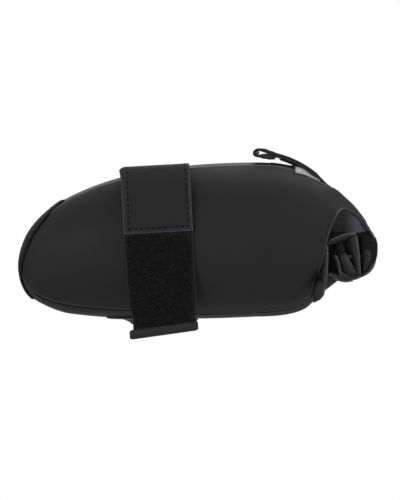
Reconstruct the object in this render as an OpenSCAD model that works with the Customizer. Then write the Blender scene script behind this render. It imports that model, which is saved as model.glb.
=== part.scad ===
// Roll-closure saddle bag: a coated-fabric bag that hangs from the saddle rails by a hook-and-loop belt.
// +X points to the rear of the bicycle, +Y to its right side and +Z up.
// The origin is the middle of the rail seat, between the two rails under the belt.

/* [Bag body] */
// Length of the stitched body, from the nose to the mouth
body_length = 193; // [165:1:235]
// Height of the body at its tallest frame
body_height = 96; // [80:1:118]
// Width of the body at its widest frame
body_width = 84; // [72:1:100]
// Thickness of the coated fabric
fabric = 1.2; // [0.8:0.1:1.6]
// How far the top panel shows over the side panels
top_seam_drop = 2.2; // [1.5:0.1:3]
// How far the bottom panel shows under the side panels
bottom_seam_rise = 5; // [3:0.5:7]
// Thickness of the nose patch and of the reflective patch
patch = 0.7; // [0.4:0.1:1]
// Thickness of the board in the base
board = 2; // [1:0.5:3]

/* [Rail belt] */
// Width of the belt
belt_width = 42.5; // [36:0.5:46]
// Thickness of the belt's base fabric
belt = 1.2; // [0.8:0.1:1.6]
// Lean of the belt as it hangs
belt_lean = 4; // [0:1:8]
// Spacing of the saddle rails under the belt
rail_spacing = 44; // [40:1:48]
// Height of the belt's humps over the crest of the bag
belt_rise = 2.7; // [2:0.1:5]
// Length of the stitched reinforcement, from the top of the belt
reinforce_length = 42; // [32:1:50]
// Thickness of the reinforcement
reinforce = 0.8; // [0.5:0.1:1.2]
// Width of the hook-and-loop tape
tape_width = 40; // [34:0.5:43]
// Thickness of the loop tape
loop_tape = 1.6; // [1:0.1:2]
// Thickness of the hook tape
hook_tape = 1; // [0.8:0.1:1.4]
// Length of the belt's tail below the corner of the bag
tail_length = 12.5; // [9:0.5:16]
// Height of the folded end tab
tab_height = 6; // [4:0.5:9]
// Length of the far tail, lying under the bag
far_tail_length = 54; // [44:1:58]

/* [Roll closure] */
// Outer radius of the rolled mouth
roll_radius = 14.3; // [12:0.1:15]
// Half of the roll's length
roll_half_length = 35; // [28:0.5:37]
// Width of the closure webbing
webbing_width = 20; // [14:1:26]
// Thickness of the closure webbing
webbing = 1.5; // [1:0.1:1.8]
// Thickness of the mouth's stiffening strip
stiffener = 1.8; // [1.2:0.1:2.4]

/* [Clearances] */
// Gap between pieces that move against each other
moving_gap = 0.5; // [0.4:0.1:0.8]
// Gap between layers of one piece
layer_gap = 0.05; // [0.02:0.01:0.1]

/* [Hidden] */

// The form is drawn for a body 193 long, 96 high and 84 wide, and stretched to the sizes above.
kx = body_length / 193;
ky = body_width / 84;
kz = body_height / 96;

// Frames of the body from the nose to the mouth: top x and z, bottom x and z, half width
FRAMES = [
    [-85, -55, -85, -63, 13], [-83.5, -48, -83.5, -70, 16.5], [-79, -38, -79, -77.5, 20],
    [-70, -27.5, -70, -83.5, 24.5], [-56, -17, -56, -87.5, 29], [-34, -7.5, -34, -90, 34.5],
    [-10, -1, -10, -91, 38.5], [16, 3, 16, -91, 41], [44, 5, 42, -90.5, 42], [72, 5, 68, -89.5, 41.5],
    [88, 1.5, 84, -87, 39.5], [98, -3.5, 92, -84, 38], [107, -9, 97.5, -80, 36.5]
];
// Frames of the collapsed rear, from the mouth to the roll
REAR_FRAMES = [
    [107.6, -9.4, 98.4, -79.6, 36.3], [113, -13.5, 103, -75.5, 36.2], [120, -20.2, 108, -72, 36],
    [127, -28.5, 110.5, -70, 35.6], [132.6, -36.6, 111.5, -69, 35.2]
];
// How far the arched edge of the rear flap hangs below its crest at each rear frame
LIP_DROPS = [40, 11, 7, 4.5, 3];
last = len(FRAMES) - 1;
rear_last = len(REAR_FRAMES) - 1;

// Roundness of the upper and the lower half of a frame: 2 is an ellipse, and more is squarer
top_round = 2.2;
bottom_round = 2.6;

// Point at t on the smooth curve through the points of list p
function spline(p, t) =
    let (n = len(p) - 1, i = max(0, min(floor(t), n - 1)), f = t - i)
    let (a = p[max(i - 1, 0)], b = p[i], c = p[i + 1], d = p[min(i + 2, n)])
    0.5 * (2 * b + (c - a) * f + (2 * a - 5 * b + 4 * c - d) * f * f
        + (3 * b - a - 3 * c + d) * f * f * f);
// Evenly spread numbers from a to b, both included
function steps(a, b, n) = [for (i = [0:n]) a + (b - a) * i / n];
function mix(a, b, t) = a + (b - a) * t;

// A frame at u, stretched to size: top point, bottom point and half width
function frame_at(frames, u) =
    let (f = spline(frames, u))
    [[f[0] * kx, f[1] * kz], [f[2] * kx, f[3] * kz], f[4] * ky];
function half_height(f) = norm(f[0] - f[1]) / 2;
function roundness(a) = a >= 0 ? top_round : bottom_round;

// Point on a frame at angle a (-90 bottom, 0 side, 90 top) on one side, moved out by off
function frame_point(f, a, side, off, ahead = 0) =
    let (
        h = half_height(f),
        up = (f[0] - f[1]) / (2 * h),
        mid = (f[0] + f[1]) / 2,
        n = roundness(a),
        rise = sign(a) * (h + off) * pow(abs(sin(a)), 2 / n),
        y = side * (f[2] + off) * pow(abs(cos(a)), 2 / n)
    )
    [mid[0] + up[0] * rise - ahead * off, y, mid[1] + up[1] * rise];

// Offsets near the nose lean forwards, so that the nose is as thick as the rest
function ahead_at(u) = pow(max(0, 1 - u / 2), 2);
function body_point(u, a, side, off) = frame_point(frame_at(FRAMES, u), a, side, off, ahead_at(u));

// Angles of the seams on the body at u
function top_seam(u) =
    let (h = half_height(frame_at(FRAMES, u)))
    asin(pow(1 - min(top_seam_drop, 0.35 * h) / h, top_round / 2));
function bottom_seam(u) =
    let (h = half_height(frame_at(FRAMES, u)))
    -asin(pow(1 - min(bottom_seam_rise, 0.35 * h) / h, bottom_round / 2));

// Closed solid between two grids of points
module plate(outer, inner) {
    rows = len(outer);
    cols = len(outer[0]);
    base = rows * cols;
    r = max(1, floor(rows / 2));
    c = max(1, floor(cols / 2));
    along = outer[r][c] - outer[r - 1][c];
    across = outer[r][c] - outer[r][c - 1];
    turn = cross(along, across) * (outer[r][c] - inner[r][c]);
    quads = concat(
        [for (i = [0:rows - 2], j = [0:cols - 2])
            [i * cols + j, i * cols + j + 1, (i + 1) * cols + j + 1, (i + 1) * cols + j]],
        [for (i = [0:rows - 2], j = [0:cols - 2])
            [base + i * cols + j, base + (i + 1) * cols + j,
                base + (i + 1) * cols + j + 1, base + i * cols + j + 1]],
        [for (j = [0:cols - 2]) [j, base + j, base + j + 1, j + 1]],
        [for (j = [0:cols - 2], k = [(rows - 1) * cols + j]) [k, k + 1, base + k + 1, base + k]],
        [for (i = [0:rows - 2], k = [i * cols]) [k, k + cols, base + k + cols, base + k]],
        [for (i = [0:rows - 2], k = [i * cols + cols - 1]) [k, base + k, base + k + cols, k + cols]]
    );
    faces = [for (q = quads, t = [[q[0], q[1], q[2]], [q[0], q[2], q[3]]])
        turn > 0 ? t : [t[2], t[1], t[0]]];
    polyhedron([for (g = [outer, inner], row = g, p = row) p], faces, convexity = 8);
}

// Rows of points round the side of the body, between the angles low(u) and high(u)
function side_rows(us, side, off, inset = 0) =
    [for (u = us) [for (t = steps(0, 1, 12))
        body_point(u, mix(bottom_seam(u) + inset, top_seam(u) - inset, t), side, off)]];
// Rows of points over the crest (pole 90) or under the keel (pole -90), out to angle edge at each u
function cap_row(u, pole, edge, off, n = 5) =
    [for (j = [-n:n]) body_point(u, mix(pole, edge, abs(j) / n), j < 0 ? -1 : 1, off)];
// Edge angles of a strip that reaches a part of the way to the seams, or laps over them
function top_edge(u, reach) = max(5, mix(90, top_seam(u), reach));
function bottom_edge(u, reach) = min(-5, mix(-90, bottom_seam(u), reach));
function top_rows(us, off, reach = 1) = [for (u = us) cap_row(u, 90, top_edge(u, reach), off)];
function bottom_rows(us, off, reach = 1) =
    [for (u = us) cap_row(u, -90, bottom_edge(u, reach), off)];

nose_end = 3;
SIDE_US = concat(steps(0, 2, 6), steps(2.5, last, 19));
CREST_US = steps(nose_end, last, 18);

module side_panel(side) {
    plate(side_rows(SIDE_US, side, 0), side_rows(SIDE_US, side, -fabric));
}

module left_side_panel() color("#2b2b2d") side_panel(-1);
module right_side_panel() color("#2b2b2d") side_panel(1);

module top_panel() color("#303032") plate(top_rows(CREST_US, 0), top_rows(CREST_US, -fabric));
module bottom_panel() color("#232324")
    plate(bottom_rows(CREST_US, 0), bottom_rows(CREST_US, -fabric));

// Rows of the strip that runs down the nose, from u on the crest to u under the keel
function nose_rows(top_u, bottom_u, top_reach, bottom_reach, off) =
    let (
        f = frame_at(FRAMES, 0),
        h = half_height(f) + off,
        top_k = pow(sin(top_edge(0, top_reach)), 2 / top_round),
        low_k = pow(-sin(bottom_edge(0, bottom_reach)), 2 / bottom_round)
    )
    concat(
        [for (u = steps(top_u, 0, 12)) cap_row(u, 90, top_edge(u, top_reach), off)],
        [for (k = steps(top_k, -low_k, 3))
            let (n = k >= 0 ? top_round : bottom_round)
            let (w = (f[2] + off) * pow(1 - pow(abs(k), n), 1 / n))
            [for (j = [-5:5]) [f[0][0] - off, w * j / 5, (f[0][1] + f[1][1]) / 2 + k * h]]],
        [for (u = steps(0, bottom_u, 12)) cap_row(u, -90, bottom_edge(u, bottom_reach), off)]
    );

module nose_panel() color("#1c1c1d")
    plate(nose_rows(nose_end, nose_end, 1, 1, 0), nose_rows(nose_end, nose_end, 1, 1, -fabric));

// The patch laps over the seams, more at the top of the nose than under it
nose_lap = 1.9;
nose_low_lap = 1.2;
nose_patch_top = 3.9;
nose_patch_bottom = 2.1;
nose_patch_gap = 0.3;
module nose_patch() color("#171717") plate(
    nose_rows(nose_patch_top, nose_patch_bottom, nose_lap, nose_low_lap, nose_patch_gap + patch),
    nose_rows(nose_patch_top, nose_patch_bottom, nose_lap, nose_low_lap, nose_patch_gap));

board_gap = 0.2;
board_reach = 0.92;
module base_board() {
    us = steps(4.5, 10, 12);
    top = -fabric - board_gap;
    color("#3a3a3c")
        plate(bottom_rows(us, top, board_reach), bottom_rows(us, top - board, board_reach));
}

module reflective_patch() {
    us = steps(9.9, 11.1, 5);
    color("#b0b0b2")
        plate(top_rows(us, layer_gap + patch, 0.75), top_rows(us, layer_gap, 0.75));
}

closure_loop = 1;
module closure_loop_tape() {
    us = steps(8.7, 9.75, 5);
    color("#141414")
        plate(top_rows(us, layer_gap + closure_loop, 0.5), top_rows(us, layer_gap, 0.5));
}

// Belt: a fabric ribbon over the crest, drawn in its own leaning frame.
// Its local origin is the top of the humps, at the middle of its width.
belt_x = -0.9 * kx;
function body_u(x) = // frame number at a place along the crest
    let (hits = [for (u = steps(0, last, 240)) if (frame_at(FRAMES, u)[0][0] >= x) u]) hits[0];
belt_frame = frame_at(FRAMES, body_u(belt_x));
belt_top = belt_frame[0][1] + belt_rise;
belt_side = frame_at(FRAMES, body_u(belt_x + belt_width / 2))[2] + moving_gap;
corner = belt_frame[1][1] - belt_top;
rail_y = rail_spacing / 2;
fold_z = corner + 8.7;
belt_split = 4;

module belt_place() {
    translate([belt_x, 0, belt_top]) rotate([0, -belt_lean, 0]) children();
}

// Inner face of the belt, from beside the hump to the fold at the corner of the bag: y and z
BELT_PATH = [
    [rail_y - 10, -belt - 2.2], [rail_y - 5, -belt - 0.9], [rail_y, -belt - 0.1],
    [rail_y + 4.5, -belt - 0.9], [rail_y + 8.6, -belt - 4], [belt_side - 5.6, -belt - 11.8],
    [belt_side - 1.6, -belt - 23.1], [belt_side, -38], [belt_side, mix(-38, fold_z, 0.5)],
    [belt_side, fold_z]
];
// Point on the belt at t on its path on one side, off its inner face
function belt_row(t, side, off) =
    let (
        p = spline(BELT_PATH, t),
        d = spline(BELT_PATH, t + 0.02) - spline(BELT_PATH, t - 0.02),
        n = [-d[1], d[0]] / norm(d)
    )
    [side * (p[0] + n[0] * off), p[1] + n[1] * off];

// Ribbon along x that follows rows of [y, z] on its inner and its outer face
module ribbon(inner, outer, x0, x1) {
    plate([for (p = outer) [[x0, p[0], p[1]], [x1, p[0], p[1]]]],
        [for (p = inner) [[x0, p[0], p[1]], [x1, p[0], p[1]]]]);
}
// Rows of a layer of the belt, from t0 on its path down to a height on its straight stretch
function belt_rows(t0, end_z, side, off) =
    concat([for (t = steps(t0, 6.9, 14)) belt_row(t, side, off)],
        [for (z = [-38, end_z]) [side * (belt_side + off), z]]);
module belt_layer(side, t0, end_z, off, thickness, width) {
    ribbon(belt_rows(t0, end_z, side, off), belt_rows(t0, end_z, side, off + thickness),
        -width / 2, width / 2);
}

// The middle of the belt dips to the crest, which rises to the rear under it
crest_half = belt_width / 2;
function crest_local(x) =
    let (f = frame_at(FRAMES, body_u(belt_x + x)))
    (f[0][1] - belt_top) - x * sin(belt_lean);
function centre_point(x, y, off) =
    let (f = min(1, abs(y) / (rail_y - 5)), ease = f * f * (3 - 2 * f))
    [x, y, mix(crest_local(x) + layer_gap, BELT_PATH[1][1], ease) + off];
function centre_rows(off) = concat(
    [for (t = steps(belt_split, 1, 9)) let (p = belt_row(t, -1, off))
        [for (x = steps(-crest_half, crest_half, 4)) [x, p[0], p[1]]]],
    [for (y = steps(-(rail_y - 5.6), rail_y - 5.6, 10))
        [for (x = steps(-crest_half, crest_half, 4)) centre_point(x, y, off)]],
    [for (t = steps(1, belt_split, 9)) let (p = belt_row(t, 1, off))
        [for (x = steps(-crest_half, crest_half, 4)) [x, p[0], p[1]]]]
);

module belt_centre() color("#2d2d2f") belt_place() plate(centre_rows(belt), centre_rows(0));

// Stitches: spacing, length, width and height of each
stitch_pitch = 3.5;
stitch_length = 2.3;
stitch_width = 0.6;
stitch = 0.35;
// Distance of the belt's stitch rows from the edges of what they hold
stitch_inset = 2.2;

// Two stitched lines that hold the belt to the crest
centre_stitch_gap = 0.25;
module belt_centre_stitching() {
    color("#1b1b1c") belt_place()
        for (side = [-1, 1], x = steps(-crest_half + 3, crest_half - 3, 10))
            let (p = centre_point(x, side * 2.5, belt))
            translate(p + [0, 0, stitch / 2 + centre_stitch_gap])
                rotate([0, -atan2(crest_local(x + 1) - crest_local(x - 1), 2), 0])
                    cube([stitch_length, stitch_width, stitch], center = true);
}

band_start = belt_split + 0.09;
// The far tail's fold: its radius, its turn forwards, its drop under the keel and its rise to the tip
fold_radius = 5;
tail_turn = 14;
tail_drop = 3.4;
tail_rise = 1.3;
far_fold_z = corner - tail_drop + fold_radius + moving_gap;
module near_band() color("#2a2a2b")
    belt_place() belt_layer(-1, band_start, fold_z, 0, belt, belt_width);
module far_band() color("#2a2a2b")
    belt_place() belt_layer(1, band_start, far_fold_z, 0, belt, belt_width);

reinforce_start = belt_split + 0.35;
module reinforcement(side) belt_place() belt_layer(
    side, reinforce_start, -reinforce_length, belt + layer_gap, reinforce, belt_width);
module near_reinforcement() color("#2d2d2f") reinforcement(-1);
module far_reinforcement() color("#2d2d2f") reinforcement(1);

// Stitches down both edges of the reinforcement and across its bottom
module reinforcement_stitching(side) {
    off = belt + layer_gap + reinforce;
    edge = belt_width / 2 - stitch_inset;
    belt_place() {
        for (t = steps(reinforce_start + 0.2, 6.9, 10), x = [-edge, edge]) {
            p = belt_row(t, side, off + layer_gap);
            q = belt_row(t, side, off + layer_gap + stitch);
            d = spline(BELT_PATH, t + 0.02) - spline(BELT_PATH, t - 0.02);
            translate([x, (p[0] + q[0]) / 2, (p[1] + q[1]) / 2])
                rotate([side * atan2(d[1], d[0]), 0, 0])
                    cube([stitch_width, stitch_length, stitch], center = true);
        }
        z = -reinforce_length + 3;
        for (x = steps(-edge + stitch_pitch, edge - stitch_pitch, 9))
            translate([x, side * (belt_side + off + layer_gap + stitch / 2), z])
                cube([stitch_length, stitch, stitch_width], center = true);
    }
}
module near_stitching() color("#161617") reinforcement_stitching(-1);
module far_stitching() color("#161617") reinforcement_stitching(1);

// Flat layer on the straight stretch of the near half, between two heights
module near_layer(z0, z1, off, thickness, width) {
    y = -(belt_side + belt + off + thickness);
    belt_place() translate([-width / 2, y, z0]) cube([width, thickness, z1 - z0]);
}
tape_top = -reinforce_length - 0.3;
tail_bottom = fold_z - moving_gap - tail_length;
module near_loop_tape() color("#131313")
    near_layer(fold_z, tape_top, layer_gap, loop_tape, tape_width);
module near_tail_band() color("#2a2a2b")
    near_layer(tail_bottom, fold_z - moving_gap, -belt, belt, belt_width);
module near_tail_tape() color("#131313")
    near_layer(tail_bottom, fold_z - moving_gap, layer_gap, loop_tape, tape_width);

// Folded strip that ends the belt, a flat loop with a round bottom
module end_tab(thickness, height, wall, width) {
    r = thickness / 2;
    translate([-width / 2, 0, 0]) rotate([90, 0, 90]) linear_extrude(width) difference() {
        union() {
            circle(r, $fn = 32);
            translate([-r, 0]) square([thickness, height - r]);
        }
        circle(r - wall, $fn = 32);
        translate([-(r - wall), 0]) square([thickness - 2 * wall, height]);
    }
}
tab_bulge = 1.2;
tab_wall = 1;
module near_end_tab() {
    thickness = belt + layer_gap + loop_tape + tab_bulge;
    z = tail_bottom - layer_gap - tab_height + thickness / 2;
    y = -(belt_side + (belt + layer_gap + loop_tape) / 2);
    color("#2f2f31") belt_place() translate([0, y, z])
        end_tab(thickness, tab_height, tab_wall, belt_width);
}

// The far tail folds under the bag, turning forwards and rising to the keel as it goes
function tail_centre(s) = // centre line of the tail's upper face in the belt's frame
    let (a = min(90, s / fold_radius * 180 / PI), flat = max(0, s - fold_radius * PI / 2))
    [
        -flat * sin(tail_turn) * min(1, flat / 20),
        belt_side - fold_radius * (1 - cos(a)) - flat * cos(tail_turn),
        corner - tail_drop + fold_radius * (1 - sin(a)) + tail_rise * flat / far_tail_length
    ];
function tail_row(s, off, half) =
    let (
        c = tail_centre(s),
        a = min(90, s / fold_radius * 180 / PI),
        flat = max(0, s - fold_radius * PI / 2),
        yaw = tail_turn * min(1, flat / 20),
        out = [0, cos(a) * off, -sin(a) * off],
        wide = [cos(yaw), -sin(yaw), 0] * half,
        level = tan(belt_lean) * min(1, flat / 20)
    )
    [for (p = [c - wide, c + wide]) p + out - [0, 0, level * p[0]]];
tail_fold = fold_radius * PI / 2;
module tail_layer(s0, s1, off, thickness, width) {
    ss = concat(steps(s0, max(s0, tail_fold) + 0.1, 8), steps(max(s0, tail_fold) + 2, s1, 8));
    belt_place() plate([for (s = ss) tail_row(s, off + thickness, width / 2)],
        [for (s = ss) tail_row(s, off, width / 2)]);
}
tail_end = tail_fold + far_tail_length;
module far_tail_band() color("#2a2a2b") tail_layer(0, tail_end, 0, belt, belt_width);
hook_inset = 6;
far_hook_gap = 0.3;
module far_hook_tape() color("#0f0f0f") tail_layer(
    tail_fold + hook_inset, tail_end - hook_inset, -far_hook_gap - hook_tape, hook_tape, tape_width);
module far_end_tab() {
    ss = steps(tail_end - tab_height, tail_end, 3);
    color("#2f2f31") belt_place()
        plate([for (s = ss) tail_row(s, belt + layer_gap + tab_wall, belt_width / 2)],
            [for (s = ss) tail_row(s, belt + layer_gap, belt_width / 2)]);
}

// Collapsed rear and rolled mouth, which swing together from the shoulder of the bag
function rear_frame(v) = frame_at(REAR_FRAMES, v);
function lip_angle(v) =
    let (h = half_height(rear_frame(v)), drop = spline(LIP_DROPS, v))
    let (k = 1 - drop / h)
    sign(k) * asin(pow(abs(k), (k >= 0 ? top_round : bottom_round) / 2));
function flap_rows(off) = [for (v = steps(0, rear_last, 10)) [for (j = [-8:8])
    frame_point(rear_frame(v), mix(90, lip_angle(v), abs(j) / 8), j < 0 ? -1 : 1, off)]];
module rear_flap() color("#2b2b2d") plate(flap_rows(0), flap_rows(-fabric));

function lower_rows(off) = [for (v = steps(0, 2.6, 8)) [for (j = [-8:8])
    frame_point(rear_frame(v), mix(-90, mix(-24, -52, v / 2.6), abs(j) / 8), j < 0 ? -1 : 1, off)]];
module rear_lower_flap() color("#242425") plate(lower_rows(0), lower_rows(-fabric));

roll_x = 122.2 * kx;
roll_z = -53.2 * kz;
turn_pitch = fabric + 0.7;
// The outer turn leaves the rear flap at this angle and winds clockwise, under the roll
roll_start = 22;
function roll_point(turned) =
    let (a = roll_start - turned, r = roll_radius - turn_pitch * turned / 360)
    [roll_x + r * cos(a), roll_z + r * sin(a)];
// Fabric between the roll's first turn and the end of the rear flap
ROLL_LEAD = [[135.5 * kx, -41.6 * kz], [133.1 * kx, -37.3 * kz]];

// Outward direction at point i of a path of [x, z] points that runs up and forwards
function out_at(path, i) =
    let (d = path[min(i + 1, len(path) - 1)] - path[max(i - 1, 0)])
    [d[1], -d[0]] / norm(d);
// Sheet across the bag that follows a path of [x, z] points
module web(path, off, thickness, width) {
    ids = [0:len(path) - 1];
    plate([for (i = ids) let (p = path[i] + out_at(path, i) * (off + thickness))
            [[p[0], -width / 2, p[1]], [p[0], width / 2, p[1]]]],
        [for (i = ids) let (p = path[i] + out_at(path, i) * off)
            [[p[0], -width / 2, p[1]], [p[0], width / 2, p[1]]]]);
}
outer_turn = 300;
inner_turn = 1150;
module roll_outer() color("#262627") web(
    concat([for (a = steps(outer_turn, 0, 20)) roll_point(a)], ROLL_LEAD),
    -fabric, fabric, 2 * roll_half_length);
module roll_inner() color("#1f1f20") web(
    [for (a = steps(inner_turn, outer_turn + 3, 56)) roll_point(a)],
    -fabric, fabric, 2 * roll_half_length - 3);
module lip_stiffener() {
    width = 2 * (roll_radius - turn_pitch * inner_turn / 360 - fabric) - 1;
    color("#303030") translate([roll_x, 0, roll_z])
        cube([width, 2 * roll_half_length - 8, stiffener], center = true);
}

// Folds of the side fabric: one from the arched lip into the pocket above the roll,
// and one from the mouth to the roll's near end
gusset_edge_z = -38.5 * kz;
gusset_gap = 0.3;
fold_width = 2.6;
fold_lean = 0.8;
pocket_depth = 16;
pocket_rise = 3.5;
function upper_fold(v, row, side, off) =
    let (
        lip = frame_point(rear_frame(v), lip_angle(v) + 1.5, side, -fabric - gusset_gap),
        y = abs(lip[1]) - [0, fold_width, pocket_depth][row],
        z = [lip[2], gusset_edge_z, gusset_edge_z + pocket_rise][row]
    )
    [lip[0] + fold_lean * row, side * (y + off[0]), z + off[1]];
function lower_fold(a, t, side, off) =
    let (
        from = frame_point(rear_frame(0.12), a, side, -fabric - gusset_gap),
        to = [roll_x - roll_radius - 1 + max(0, -a - 18) * 0.1, side * 25, from[2] + 2.5],
        ripple = 1.2 * sin(540 * t) * side
    )
    mix(from, to, t) + [0, ripple + side * off, 0];
module gusset(side) {
    vs = steps(0.7, 3.1, 6);
    plate([for (v = vs) [for (row = [0:2]) upper_fold(v, row, side, [0, 0])]],
        [for (v = vs) [for (row = [0:2]) upper_fold(v, row, side, [-fabric, fabric * row / 2])]]);
    as = steps(-34, 12, 7);
    plate([for (a = as) [for (t = steps(0, 1, 6)) lower_fold(a, t, side, 0)]],
        [for (a = as) [for (t = steps(0, 1, 6)) lower_fold(a, t, side, -fabric)]]);
}
module left_gusset() color("#1d1d1e") gusset(-1);
module right_gusset() color("#1d1d1e") gusset(1);

// Closure webbing: round the roll, up the rear flap and forwards over the crest
wrap_gap = 0.2;
WRAP_PATH = concat(
    [for (a = steps(152, 4, 12)) roll_point(a)], ROLL_LEAD,
    [for (v = steps(rear_last - 0.35, 0.12, 10))
        let (p = frame_point(rear_frame(v), 90, 1, 0)) [p[0], p[2]]]);
TAB_PATH = [
    [106.4, -7.6], [102.5, -4.6], [97.5, -1.3], [92.5, 1.6], [87.5, 4.2], [82.5, 6.6], [77.5, 8.7],
    [73.6, 9.8]
];
function tab_points() = [for (t = steps(0, len(TAB_PATH) - 1, 20))
    let (p = spline(TAB_PATH, t)) [p[0] * kx, p[1] * kz]];
module closure_wrap() color("#1e1e1f") web(WRAP_PATH, wrap_gap, webbing, webbing_width);
module closure_tab() color("#1e1e1f") web(tab_points(), 0, webbing, webbing_width);

module closure_wrap_stitching() {
    color("#111112") for (i = [1, 3], y = steps(-webbing_width / 2 + 2, webbing_width / 2 - 2, 5)) {
        p = WRAP_PATH[i] + out_at(WRAP_PATH, i) * (wrap_gap + webbing + layer_gap + stitch / 2);
        n = out_at(WRAP_PATH, i);
        translate([p[0], y, p[1]]) rotate([0, atan2(n[0], n[1]), 0])
            cube([stitch_width, stitch_length, stitch], center = true);
    }
}

// Webbing folded back on itself as a pull loop at the end of the tab
loop_length = 12.6;
loop_hole = 4.2;
module pull_loop() {
    r = webbing + 0.1;
    hole_r = r - 0.75;
    root = TAB_PATH[len(TAB_PATH) - 1];
    color("#19191a")
        translate([root[0] * kx - layer_gap, webbing_width / 2 - 0.5, root[1] * kz + webbing / 2])
            rotate([90, 8, 0]) linear_extrude(webbing_width - 1) difference() {
                union() {
                    translate([-loop_length + r, 0]) circle(r, $fn = 32);
                    translate([-loop_length + r, -r]) square([loop_length - r, 2 * r]);
                    translate([-2, -r]) circle(1.7, $fn = 24);
                }
                translate([-loop_length + 2 * r + 1, 0]) circle(hole_r, $fn = 24);
                translate([-loop_length + 2 * r + 1, -hole_r]) square([loop_hole - 2 * hole_r, 2 * hole_r]);
                translate([-loop_length + 1 + loop_hole + 2 * (r - hole_r), 0]) circle(hole_r, $fn = 24);
            }
}
module closure_hook_tape() {
    pts = tab_points();
    color("#0f0f0f")
        web([for (i = [10:18]) pts[i]], -layer_gap - hook_tape, hook_tape, webbing_width - 2);
}
module closure_tab_stitching() {
    pts = tab_points();
    color("#111112") for (i = [17, 19], y = steps(-webbing_width / 2 + 2, webbing_width / 2 - 2, 5)) {
        n = out_at(pts, i);
        p = pts[i] + n * (webbing + layer_gap + stitch / 2);
        translate([p[0], y, p[1]]) rotate([0, atan2(n[0], n[1]), 0])
            cube([stitch_width, stitch_length, stitch], center = true);
    }
}

left_side_panel();
right_side_panel();
top_panel();
bottom_panel();
nose_panel();
nose_patch();
base_board();
reflective_patch();
closure_loop_tape();
belt_centre();
belt_centre_stitching();
near_band();
near_reinforcement();
near_loop_tape();
near_stitching();
near_tail_band();
near_tail_tape();
near_end_tab();
far_band();
far_reinforcement();
far_stitching();
far_tail_band();
far_hook_tape();
far_end_tab();
rear_flap();
rear_lower_flap();
left_gusset();
right_gusset();
roll_outer();
roll_inner();
lip_stiffener();
closure_wrap();
closure_wrap_stitching();
closure_tab();
pull_loop();
closure_hook_tape();
closure_tab_stitching();
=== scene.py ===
# Roll-closure saddle bag of coated fabric, hung from the saddle rails by a hook-and-loop belt.
from math import cos, radians, sin, tan

import bpy
import numpy as np
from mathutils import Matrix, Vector


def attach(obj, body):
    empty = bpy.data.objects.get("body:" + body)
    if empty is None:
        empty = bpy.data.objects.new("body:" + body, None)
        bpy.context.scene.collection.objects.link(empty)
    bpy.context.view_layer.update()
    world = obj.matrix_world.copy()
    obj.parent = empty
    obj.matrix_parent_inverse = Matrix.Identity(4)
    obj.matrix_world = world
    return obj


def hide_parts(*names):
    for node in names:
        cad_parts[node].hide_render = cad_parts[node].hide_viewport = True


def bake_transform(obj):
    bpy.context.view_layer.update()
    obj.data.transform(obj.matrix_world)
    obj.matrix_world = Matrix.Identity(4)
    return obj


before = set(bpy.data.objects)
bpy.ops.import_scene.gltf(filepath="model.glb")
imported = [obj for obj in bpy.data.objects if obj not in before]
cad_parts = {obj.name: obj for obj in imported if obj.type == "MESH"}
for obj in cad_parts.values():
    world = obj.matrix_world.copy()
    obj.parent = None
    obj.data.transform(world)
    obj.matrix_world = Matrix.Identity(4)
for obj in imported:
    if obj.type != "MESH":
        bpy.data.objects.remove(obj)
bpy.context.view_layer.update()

# ---- Stage ----------------------------------------------------------------------------------
# The bag hangs clear of a pale floor in a white room, square to a long lens at its left side.
# One broad lamp above and in front, one over the top and a low fill give soft, plain light.
MM = 0.001


class Shade:
    """One socket of a material's tree. Arithmetic on it adds Math nodes."""

    def __init__(self, tree, socket=None):
        self.tree, self.socket = tree, socket

    def node(self, kind, settings=None, inputs=None, out=0):
        """Any node: its type, its settings, then the values or links of its sockets."""
        made = self.tree.nodes.new("ShaderNode" + kind)
        for name, value in (settings or {}).items():
            setattr(made, name, value)
        for name, value in (inputs or {}).items():
            if isinstance(value, Shade):
                self.tree.links.new(value.socket, made.inputs[name])
            else:
                made.inputs[name].default_value = value
        return Shade(self.tree, made.outputs[out])

    def math(self, operation, other=0.0):
        return self.node("Math", {"operation": operation}, {0: self, 1: other})

    def __add__(self, other):
        return self.math("ADD", other)

    def __sub__(self, other):
        return self.math("SUBTRACT", other)

    def __rsub__(self, other):
        return self.node("Math", {"operation": "SUBTRACT"}, {0: other, 1: self})

    def __mul__(self, other):
        return self.math("MULTIPLY", other)

    __radd__, __rmul__ = __add__, __mul__

    def mix(self, low, high):
        """A colour between low and high, with this socket as the share of high."""
        settings = {"data_type": "RGBA", "clamp_factor": True}
        return self.node("Mix", settings, {0: self, 6: low, 7: high}, out=2)
    def bump(self, strength, distance):
        """A bumped normal, with this socket as the height."""
        return self.node("Bump", inputs={"Strength": strength, "Distance": distance, "Height": self})


def grey(level, warm=0.0):
    """A near-neutral colour: warm above 0 takes blue out, and below 0 adds it."""
    return (level, level, level * (1 - warm), 1)


FLOOR_Z = -0.26
FLOOR_RADIUS = 0.8
WHITE_SHARE = 0.62
AMBIENT = 0.26


def emptied(owner):
    """The node tree of a material or a world, with nothing in it yet."""
    owner.use_nodes = True
    owner.node_tree.nodes.clear()
    return Shade(owner.node_tree)


def seen(start):
    """Above 0 on camera, glossy and transmission rays, which see white past the lit objects."""
    camera, glossy, through = (
        start.node("LightPath", out=f"Is {ray} Ray") for ray in ("Camera", "Glossy", "Transmission"))
    return camera + glossy + through


def surface(start, kind, last):
    output = start.tree.nodes.new("ShaderNodeOutput" + kind)
    start.tree.links.new(last.socket, output.inputs["Surface"])


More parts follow.
